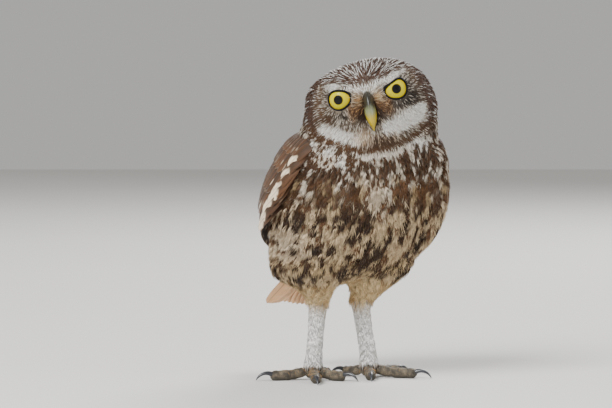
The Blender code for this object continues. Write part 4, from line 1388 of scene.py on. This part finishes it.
# Wing and tail feathers. A tier runs from its first feather to its last: their roots and tips, each
# a row of the wings' shell and a place around it, how far the tips bow out, the half width, the lift
# over the shell, the tilt in degrees, and the strength of bars, spots and white tips.
Tier = namedtuple("Tier", "count roots tips bow half lift tilt bars spots blotch")
WING_TIERS = (
    Tier(9, ((2.1, 80), (2.6, 99)), ((6.9, 123), (6.7, 162)), 0.9, 4.4, -0.7, 14, 1.0, 0.0, 0.0),
    Tier(12, ((2.3, 101), (2.9, 153)), ((6.2, 127), (5.4, 173)), 0.0, 4.7, -0.4, 9, 0.9, 0.0, 0.0),
    Tier(3, ((2.3, 159), (2.1, 168)), ((5.0, 172), (4.5, 177)), 0.0, 5.6, 0.5, 8, 0.5, 0.6, 0.0),
    Tier(11, ((1.5, 77), (1.9, 149)), ((3.5, 87), (3.7, 156)), 0.1, 4.7, 0.7, 6, 0.25, 0.9, 0.0),
    Tier(12, ((0.9, 76), (1.1, 144)), ((2.5, 82), (2.7, 150)), 0.0, 4.2, 1.2, 6, 0.0, 0.8, 0.0),
    Tier(12, ((0.4, 76), (0.5, 142)), ((1.7, 82), (1.9, 146)), 0.0, 4.0, 1.7, 6, 0.0, 0.4, 0.0),
    Tier(11, ((0.0, 80), (0.0, 140)), ((1.0, 84), (1.1, 142)), 0.0, 3.8, 2.1, 6, 0.0, 0.2, 0.0),
    Tier(9, ((0.1, 150), (1.7, 171)), ((1.7, 158), (3.7, 175)), 0.0, 4.6, 1.9, 5, 0.0, 1.0, 0.0),
    Tier(7, ((0.2, 73), (2.6, 78)), ((1.3, 83), (4.0, 91)), 0.0, 3.9, 2.3, 4, 0.0, 0.0, 2.0),
)
ROOT_SUNK = 3.4
QUILL_ROWS = 18
QUILL_THICK = 0.28
QUILL_ACROSS = np.linspace(-1, 1, 9)
# The tail's layers: count, share of the tail's length, half width, height, fall to the sides, and
# marks, where a spot below 0 says that it is the tail
TAIL_LAYERS = ((12, 1.0, 5.2, 0.0, 0.75, (0.35, -1.0, 0.0)), (8, 0.52, 5.0, 2.0, 0.6, (0.2, -1.0, 0.0)))
TAIL_BOW = 0.06


def quill_half(share, half):
    """A vane's half width: narrow at the root, widest past its middle, round at the tip."""
    root = np.minimum(1.0, 0.5 + 1.6 * share)
    tip = np.sqrt(np.clip(1 - (np.clip(share - 0.62, 0, 1) / 0.38) ** 2.4, 0, 1))
    return half * np.maximum(root * tip, 0.05)


def quill(centres, across, over, half, draw):
    """Rings of a closed thin vane with curved webs and a split or two in its edges."""
    rows = len(centres)
    share = np.linspace(0, 1, rows)
    v = QUILL_ACROSS
    wave = 1 + 0.03 * np.sin(share[:, None] * draw.uniform(9, 16) + np.sign(v) * 1.7 + draw.uniform(0, 6))
    split = np.ones((rows, len(v)))
    for _ in range(2):
        row, edge = draw.integers(rows // 2, rows - 2), draw.choice((0, -1))
        split[row, edge] = 0.86
    wide = quill_half(share, half)[:, None] * v * wave * split
    sag = -0.14 * wide**2 / half + 0.25 * (v == 0)
    top = centres[:, None] + across[:, None] * wide[..., None] + over[:, None] * sag[..., None]
    low = top[:, ::-1] - over[:, None] * QUILL_THICK
    return np.concatenate((top, low), axis=1)


class Quills:
    """Vanes gathered into one piece, each with its own marks and its own rectangle of the map."""

    def __init__(self, name, draw):
        self.name, self.draw = name, draw
        self.parts, self.vane, self.mark, self.dark, self.chance = [], [], [], [], []

    def add(self, centres, across, over, half, mark, dark):
        """One vane. The last of its vane numbers is its length, negative on its underside."""
        rings = quill(centres, across, over, half, self.draw)
        points, faces = loft(rings)
        rows, sides = rings.shape[:2]
        v = np.tile(np.concatenate((QUILL_ACROSS, QUILL_ACROSS[::-1])), rows)
        along = np.repeat(np.linspace(0, 1, rows), sides)
        span = np.linalg.norm(centres[-1] - centres[0])
        spans = np.append(np.tile(np.repeat((span, -span), len(QUILL_ACROSS)), rows), (span, span))
        self.vane.append(np.stack((np.append(v, (0, 0)), np.append(along, (0, 1)), spans), 1))
        for values, value in ((self.mark, mark), (self.dark, dark), (self.chance, [self.draw.random()])):
            values.append(np.tile(value, (len(points), 1)))
        self.parts.append((points, faces))

    def finish(self, finish):
        points, faces = joined(self.parts)
        made = mesh_object(self.name, metres(points), faces)
        vane = np.concatenate(self.vane)
        mesh = made.data
        store(mesh, "vane", "FLOAT_VECTOR", vane)
        store(mesh, "mark", "FLOAT_VECTOR", np.concatenate(self.mark))
        store(mesh, "dark", "FLOAT_COLOR", np.concatenate(self.dark))
        store(mesh, "chance", "FLOAT", np.concatenate(self.chance)[:, 0])
        columns = math.ceil(math.sqrt(len(self.parts) * 3))
        lines = math.ceil(len(self.parts) / columns)
        cell = np.array((1 / columns, 1 / lines))
        which = np.repeat(np.arange(len(self.parts)), [len(part[0]) for part in self.parts])
        corner = np.stack((which % columns, which // columns), 1) * cell
        inside = np.stack((0.5 + 0.45 * vane[:, 0], 0.04 + 0.92 * vane[:, 1]), 1)
        store_map(mesh, corner + inside * cell)
        return finished(made, finish, mapped=True)


def wing_quills(side, finish):
    """Every feather of a folded wing, tier by tier."""
    draw = np.random.default_rng(40 + side)
    quills = Quills("wing_feathers_" + SIDES[side], draw)
    share = np.linspace(0, 1, QUILL_ROWS)
    for tier in WING_TIERS:
        for i in range(tier.count):
            at = i / (tier.count - 1)
            root = lerp(*np.array(tier.roots, float), at)
            tip = lerp(*np.array(tier.tips, float), at)
            tip += (tier.bow * math.sin(math.pi * at) + draw.uniform(-0.06, 0.06), draw.uniform(-1.0, 1.0))

            def spot(s, grow=0.0):
                return shell_point(lerp(root[0], tip[0], s), side * lerp(root[1], tip[1], s), grow)

            rise = np.minimum(share / 0.55, 1.0)
            height = tier.lift - (ROOT_SUNK + tier.lift) * (1 - rise) ** 2 + draw.uniform(-0.12, 0.12)
            run = unit(spot(share + 0.02) - spot(share - 0.02))
            out = unit(spot(share, 1) - spot(share))
            forward = unit(np.cross(out, run)) * side
            over = unit(np.cross(run, forward)) * side
            tilt = math.radians(tier.tilt)
            across = forward * math.cos(tilt) - over * math.sin(tilt)
            over = over * math.cos(tilt) + forward * math.sin(tilt)
            mark = (tier.bars, tier.spots, tier.blotch)
            dark = lerp(WING_BROWN, WING_DEEP, draw.uniform(0.0, 0.7))
            centres = np.stack([spot(s, h) for s, h in zip(share, height)])
            quills.add(centres, across, over, tier.half, mark, dark)
    return quills.finish(finish)


def tail_quills(finish):
    """The tail feathers fanned from their root, the middle pair uppermost, under their coverts."""
    draw = np.random.default_rng(9)
    quills = Quills("tail_feathers", draw)
    root, tip = place(*TAIL_ROOT), place(*TAIL_TIP)
    length = np.linalg.norm(tip - root)
    run = (tip - root) / length
    over = unit(np.cross(ASIDE, run))
    over = over if over[2] > 0 else -over
    across = unit(np.cross(run, over))
    share = np.linspace(0, 1, QUILL_ROWS)[:, None]
    for count, reach, half, high, fall, mark in TAIL_LAYERS:
        middle = (count - 1) / 2
        for i in range(count):
            beside = i - middle
            out = beside / middle
            drop = abs(beside) * fall + (0.35 if beside < 0 else 0)
            foot = root + across * (out * TAIL_HALF_ROOT) + over * (high - abs(beside) * fall / 2)
            far = length * reach * (1 + TAIL_BOW - TAIL_BOW * out**2) * draw.uniform(0.98, 1.0)
            end = root + run * far + across * (out * TAIL_HALF_FAN * reach) + over * (high * 0.7 - drop)
            along = unit(end - foot)
            wide = unit(np.cross(along, over))
            facing = unit(np.cross(wide, along))
            centres = lerp(foot, end, share)
            tiled = [np.tile(way, (QUILL_ROWS, 1)) for way in (wide, facing)]
            quills.add(centres, *tiled, half, mark, lerp(TAIL_BROWN, WING_BROWN, draw.uniform(0.0, 0.4)))
    return quills.finish(finish)


def quill_material():
    """Close vanes with a shaft, barbs, pale bars, spots near the tip and white tips. The tail's are
    brown and barred above, and plain buff below."""
    made, sheet = new_material("quills")
    across, along, reach = sheet.parts(sheet.read("vane", "Vector"))
    bars, spots, blotch = sheet.parts(sheet.read("mark", "Vector"))
    span = abs(reach)
    tail_top = sheet.rise(reach, -1.0, 1.0) * sheet.clamp(0.0 - spots)
    chance = sheet.read("chance")
    wide = abs(across)
    where = sheet.place()
    cloud = sheet.noise(where, 500.0, 3.0)
    wobble = (cloud - 0.5) * 0.5
    turns = (along * span * 0.1 + wide * 0.12 + wobble * 0.3 + chance) * math.tau
    band = sheet.rise(sheet.math("COSINE", turns), 0.45, 0.95)
    band = band * sheet.rise(wide + wobble, 0.2, 0.6) * (bars + tail_top) * sheet.rise(along, 0.15, 0.3)
    size = 1.15 + abs(chance - 0.45) * 3.4
    high = (along - 0.84 + chance * 0.12) * 5.0 + wobble * 1.5
    beside = abs(across - 0.3 - chance * 0.25 + wobble * 0.4)
    pair = (beside * 1.3 * size) ** 2.0 + (high * size) ** 2.0
    spot = sheet.rise(pair, 1.0, 0.55) * sheet.clamp(spots)
    outer = sheet.rise(across + wobble * 0.4, 0.0, 0.2) * sheet.rise(along, 0.3, 0.5) * blotch
    tips = sheet.rise(along + wobble * 0.3 - wide * 0.2 + chance * 0.2, 0.6, 0.72)
    outer = outer * sheet.clamp(2 - blotch) + tips * sheet.clamp(blotch - 1)
    middle = sheet.rise(wide + wobble * 0.5, 0.75, 0.2) * sheet.rise(along, 1.0, 0.55)
    middle = middle * (0.35 + 0.5 * chance) * sheet.clamp(1 + spots)
    edge = sheet.rise(wide + along * 1.4, 2.05, 2.3) * 0.2
    pale = sheet.clamp(band * 0.55 + spot + outer + edge)
    barbs = sheet.math("SINE", (along * span - wide * 3.2) * 7.0)
    lines = sheet.joined(x=across * 5.0 + chance * 90.0, y=along * 1.6)
    grain = sheet.noise(lines, 1.8, 3.0)
    # Painted shade: each vane darkens towards its root, to 0.6 of its colour, as the shadow of the feathers
    # that lie over it. The rest of the shade is grain along the barbs, mottle and random tone.
    shade = (0.62 + grain * 0.5 + cloud * 0.15 + chance * 0.12 + barbs * 0.05) * (0.6 + 0.4 * along)
    shaft = sheet.rise(wide, 0.09, 0.03)
    base = sheet.mix(tail_top * 0.9, sheet.read("dark", "Color"), WING_BROWN)
    base = sheet.mix(middle, base, WING_DEEP)
    base = sheet.mix(pale, base, cream(0.35))
    base = sheet.mix(shaft * 0.5, base, WING_DEEP)
    base = sheet.shaded(base, sheet.clamp(shade))
    bump = sheet.bump(barbs * 0.5 + shaft, 0.4)
    sheet.feed(Base_Color=base, Roughness=0.62, Normal=bump, Specular_IOR_Level=0.3)
    sheet.feed(Sheen_Weight=0.15, Sheen_Roughness=0.4)
    return made


# Eyes and lids
def eye_material():
    """A black pupil in a bright yellow iris with a dark edge, under a clear wet surface."""
    made, sheet = new_material("eye")
    along, up, ahead = sheet.parts(sheet.read("gaze", "Vector"))
    far = (along**2.0 + up**2.0) ** 0.5
    angle = sheet.math("ARCTAN2", up, along)
    ray = sheet.joined(x=angle * 7.0, y=far * 0.35)
    streaks = sheet.noise(ray, 2.2, 3.0)
    iris = sheet.mix(streaks, colour(168, 154, 0), colour(200, 192, 0))
    iris = sheet.mix(sheet.rise(far, 4.4, 7.0) * 0.65, iris, colour(190, 138, 0))
    iris = sheet.mix(sheet.rise(far, 3.5, 2.8) * 0.5, iris, colour(150, 112, 6))
    pupil = sheet.rise(far, PUPIL_RADIUS - 0.1, PUPIL_RADIUS + 0.12)
    base = sheet.mix(pupil, (0.002, 0.002, 0.002), iris)
    dark = sheet.clamp(sheet.rise(far, IRIS_RADIUS - 0.5, IRIS_RADIUS) + sheet.rise(ahead, 1.5, 0.5))
    base = sheet.mix(dark, base, colour(30, 24, 18))
    sheet.feed(Base_Color=base, Roughness=0.5, Coat_Weight=0.35, Coat_Roughness=0.1, Coat_IOR=1.33)
    sheet.feed(Specular_IOR_Level=0.1)
    return made


def make_eye(side, finish):
    mesh = bpy.data.meshes.new("eyeball")
    edit(mesh, lambda shape: bmesh.ops.create_icosphere(shape, subdivisions=5, radius=EYE_RADIUS))
    made = placed("eyeball_" + SIDES[side], mesh)
    local = points_of(mesh)
    look, right, over = eye_axes(side)
    turned = local[:, :1] * right + local[:, 1:2] * over + local[:, 2:] * look
    set_points(mesh, metres(eye_place(side) + turned))
    store(mesh, "gaze", "FLOAT_VECTOR", local)
    half = np.where(local[:, 2] > 0, 0.25, 0.75)
    flat = np.stack((half + local[:, 0] / EYE_RADIUS * 0.24, 0.5 + local[:, 1] / EYE_RADIUS * 0.48), 1)
    store_map(mesh, flat)
    return finished(made, finish, mapped=True)


def make_lids(finish):
    """The dark rims round the open part of both eyes."""
    parts, count, sides = [], 120, 10
    angle = np.arange(count) * math.tau / count
    for side in SIDES:
        look, right, over = eye_axes(side)
        reach = opening(side, angle)
        rings = []
        corner = np.maximum(np.cos(angle - (0 if side < 0 else math.pi)), 0) ** 8
        width = 0.85 + 0.8 * corner + 0.25 * np.clip(np.sin(angle), 0, 1)
        for k in range(sides):
            swing = math.tau * k / sides
            far = reach + width / 2 * (1 - math.cos(swing))
            lift = EYE_RADIUS + 0.32 + 0.42 * math.sin(swing) + 0.25 * (far - reach)
            far = np.minimum(far, 8.2)
            out = right * np.cos(angle)[:, None] + over * np.sin(angle)[:, None]
            lean = np.arcsin(far / (EYE_RADIUS + 0.3))[:, None]
            rings.append(eye_place(side) + (out * np.sin(lean) + look * np.cos(lean)) * lift[:, None])
        rings = np.stack(rings, axis=1)
        k = np.arange(count * sides).reshape(count, sides)
        after, beside = np.roll(k, -1, axis=0), np.roll(k, -1, axis=1)
        both = np.roll(after, -1, axis=1)
        faces = np.stack((k, beside, both, after), -1).reshape(-1, 4).tolist()
        parts.append((rings.reshape(-1, 3), faces))
    points, faces = joined(parts)
    return finished(mesh_object("eyelids", metres(points), faces), finish)


def plain_material(name, base, dark, rough, scale, coat=0.0, gloss=0.5):
    """One colour with a fine mottle of a darker one."""
    made, sheet = new_material(name)
    where = sheet.place()
    cloud = sheet.noise(where, scale, 3.0)
    bump = sheet.bump(cloud, 0.2)
    sheet.feed(Base_Color=sheet.mix(cloud, dark, base), Roughness=rough, Normal=bump)
    sheet.feed(Coat_Weight=coat, Coat_Roughness=0.25, Specular_IOR_Level=gloss)
    return made


# Bill
def bill_run(share):
    """The bill's centre line, hooked down from the brow, at shares of its length."""
    swing = BILL_START + BILL_BEND * share
    radius = BILL_LENGTH / BILL_BEND
    down = radius * (math.cos(BILL_START) - np.cos(swing))
    ahead = radius * (np.sin(swing) - math.sin(BILL_START))
    return np.array(BILL_BASE) - np.stack((0 * ahead, ahead * BILL_REACH, down), -1)


def bill_material():
    """Dark cere and nostrils, a grey-green ridge lightened by painted highlight, olive sides and a yellow
    tip.
    """
    made, sheet = new_material("bill")
    along, top, hole = sheet.parts(sheet.read("horn", "Vector"))
    where = sheet.place()
    cloud = sheet.noise(where, 420.0, 3.0)
    # The top of the bill is paler and greyer than its olive sides. This is partly its own grey-green and
    # partly painted highlight where the light falls on the ridge.
    base = sheet.mix(sheet.rise(top, 0.1, 0.75), colour(118, 112, 10), colour(124, 130, 92))
    base = sheet.mix(sheet.rise(along + cloud * 0.1 - top * 0.08, 0.56, 0.74), base, colour(188, 162, 0))
    cere = sheet.rise(along - top * 0.05 + cloud * 0.12, 0.62, 0.44)
    base = sheet.mix(cere, base, colour(26, 25, 23))
    base = sheet.mix(hole, base, colour(14, 12, 10))
    base = sheet.mix(cloud * 0.3, base, colour(70, 62, 30))
    bump = sheet.bump(cloud, 0.25)
    sheet.feed(Base_Color=base, Roughness=0.38, Normal=bump)
    sheet.feed(Coat_Weight=0.2, Coat_Roughness=0.25)
    return made


def make_bill(finish):
    """The upper bill with its nostrils, and the lower bill under it."""
    rows, sides = 64, 48
    share = np.linspace(0, 1, rows)
    centres = bill_run(share)
    run = unit(np.gradient(centres, axis=0))
    top = np.stack((0 * share, run[:, 2], -run[:, 1]), -1)
    top = np.where(top[:, 1:2] > 0, -top, top)
    wide, deep = spline_rows(BILL_ROWS, share * (len(BILL_ROWS) - 1)).T
    wide = wide * np.interp(share, (0, 0.4, 0.8, 1), (0.9, 0.68, 0.74, 0.55))
    deep = deep * np.interp(share, (0, 0.3, 0.8, 1), (0.85, 0.95, 0.98, 0.6))
    angle = np.arange(sides) * math.tau / sides
    cos = np.cos(angle)
    ridge = 1 + 0.12 * np.maximum(0, cos) ** 4
    side = np.sign(np.sin(angle)) * np.abs(np.sin(angle)) ** 1.12
    beside = wide[:, None, None] * side[:, None] * np.array((1, 0, 0))
    rings = centres[:, None] + beside + top[:, None] * (deep[:, None] * ridge * cos)[..., None]
    points, faces = loft(rings)
    points[:, 2] = BILL_BASE[2] + (points[:, 2] - BILL_BASE[2]) * BILL_DROP
    holes = np.zeros(len(points))
    middle = rings.reshape(-1, 3).mean(axis=0)
    for across in (-1, 1):
        spot = np.array(NOSTRIL_PLACE) * (across, 1, 1)
        dent = np.exp(-(np.linalg.norm(points - spot, axis=1) / NOSTRIL_RADIUS) ** 4)
        points = points + (middle - points) * (dent * 0.22)[:, None]
        holes = np.maximum(holes, dent)
    horn = np.stack((np.repeat(share, sides), np.tile(cos, rows)), 1)
    horn = np.concatenate((horn, [(0, 0), (1, 0)]))
    upper = mesh_object("bill_horn_upper", metres(on_head(points)), faces)
    store(upper.data, "horn", "FLOAT_VECTOR", np.column_stack((horn, holes)))
    ahead, high, radius = spline_rows(LOWER_BILL_ROWS, np.linspace(0, 3, 24)).T
    low_centres = np.stack((0 * ahead, -ahead, high), -1)
    low_points, low_faces = loft(tube_rings(low_centres + (0, 0.8, 1.6), radius * 0.66, 28))
    lower = mesh_object("bill_horn_lower", metres(on_head(low_points)), low_faces)
    horn = np.tile((0.6, 0.0, 0.0), (len(low_points), 1))
    store(lower.data, "horn", "FLOAT_VECTOR", horn)
    return [finished(made, finish) for made in (upper, lower)]


def make_claws(finish):
    """The eight curved claws."""
    parts = []
    share = np.linspace(0, 1, 20)
    bend = CLAW_LENGTH / CLAW_SWEEP
    swing = CLAW_RISE - CLAW_SWEEP * share
    along = bend * (math.sin(CLAW_RISE) - np.sin(swing))
    rise = bend * (np.cos(swing) - math.cos(CLAW_RISE))
    for side, toes in TOES.items():
        for heading, length in toes.values():
            centres, _ = toe_rings(side, heading, length)
            out = np.array((math.cos(math.radians(heading)), math.sin(math.radians(heading)), 0))
            tip = centres[-1] - out + UP * 0.7
            line = tip + np.outer(along + share, out) + np.outer(rise, UP)
            line[:, 2] = np.maximum(line[:, 2], 0.45)
            rings = tube_rings(line, CLAW_RADIUS * (1 - share) ** 0.8 + 0.12, 16)
            under = np.clip(line[:, None, 2] - rings[..., 2], 0, 9)
            rings[..., 2] += under * 0.35
            rings[..., 2] = np.maximum(rings[..., 2], 0.1)
            parts.append(loft(rings))
    points, faces = joined(parts)
    return finished(mesh_object("claws", metres(points), faces), finish)


skin = make_skin()
unwrap(skin)
describe_skin(skin)
skin.data.materials.clear()
skin.data.materials.append(skin_material())
skin.data.shade_smooth()
coat = make_coat(skin)
quill_finish = quill_material()
wings = [wing_quills(side, quill_finish) for side in SIDES]
tail = tail_quills(quill_finish)
eye_finish = eye_material()
eyes = [make_eye(side, eye_finish) for side in SIDES]
lids = make_lids(plain_material("eyelid", colour(16, 14, 13), colour(7, 6, 6), 0.7, 900.0, gloss=0.15))
bill = make_bill(bill_material())
claws = make_claws(plain_material("claw", colour(50, 52, 58), colour(22, 23, 27), 0.35, 500.0, 0.4))

# Studio
FLOOR_REACH = 3.0
FLOOR_PALE = (0.67, 0.66, 0.635)
FLOOR_DARK = (0.63, 0.62, 0.595)
SKY_COLOUR = (0.9, 0.89, 0.87, 1)
SKY_STRENGTH = 0.52
# Each light's place, size and power
LIGHTS = {
    "key": ((-0.9, -1.3, 1.5), 1.0, 78),
    "fill": ((2.0, -1.0, 0.45), 1.6, 24),
    "rim": ((0.6, 1.4, 1.3), 0.9, 36),
}
LIT_PLACE = Vector((0, 0, 0.11))


def add_floor():
    corners = [(x * FLOOR_REACH, y * FLOOR_REACH, 0) for x, y in ((-1, -1), (1, -1), (1, 1), (-1, 1))]
    floor = mesh_object("floor", corners, [(0, 1, 2, 3)])
    floor.data.materials.append(plain_material("floor", FLOOR_PALE, FLOOR_DARK, 0.8, 3.0))


def add_lights():
    for name, (at, size, power) in LIGHTS.items():
        made = placed(name, bpy.data.lights.new(name, "AREA"))
        made.location = at
        made.data.size = size
        made.data.energy = power
        made.rotation_euler = (LIT_PLACE - Vector(at)).to_track_quat("-Z", "Y").to_euler()
    sky = bpy.data.worlds.new("studio")
    bpy.context.scene.world = sky
    sky.use_nodes = True
    sky.node_tree.nodes["Background"].inputs["Color"].default_value = SKY_COLOUR
    sky.node_tree.nodes["Background"].inputs["Strength"].default_value = SKY_STRENGTH


add_floor()
add_lights()

# The new pieces, attached to the body, and the solids that they replace, hidden
COVERED = ("head", "neck", "torso", "thigh", "shank", "toe")
FLESH = [name for name in frame["nodes"] if name.split("_")[0] in COVERED]
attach(skin, BODY)
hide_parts(*FLESH)
for piece in coat:
    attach(piece, BODY)
for piece, name, slot in (
    (wings[0], "wing_left", "flight_feathers"),
    (wings[1], "wing_right", "flight_feathers"),
    (tail, "tail", "flight_feathers"),
    (eyes[0], "eye_left", "eye"),
    (eyes[1], "eye_right", "eye"),
    (bill[0], "bill_upper", "bill"),
    (bill[1], "bill_lower", "bill"),
):
    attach(piece, BODY)
    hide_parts(name)
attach(lids, BODY)
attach(claws, BODY)
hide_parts(*[name for name in frame["nodes"] if name.startswith("claw")])
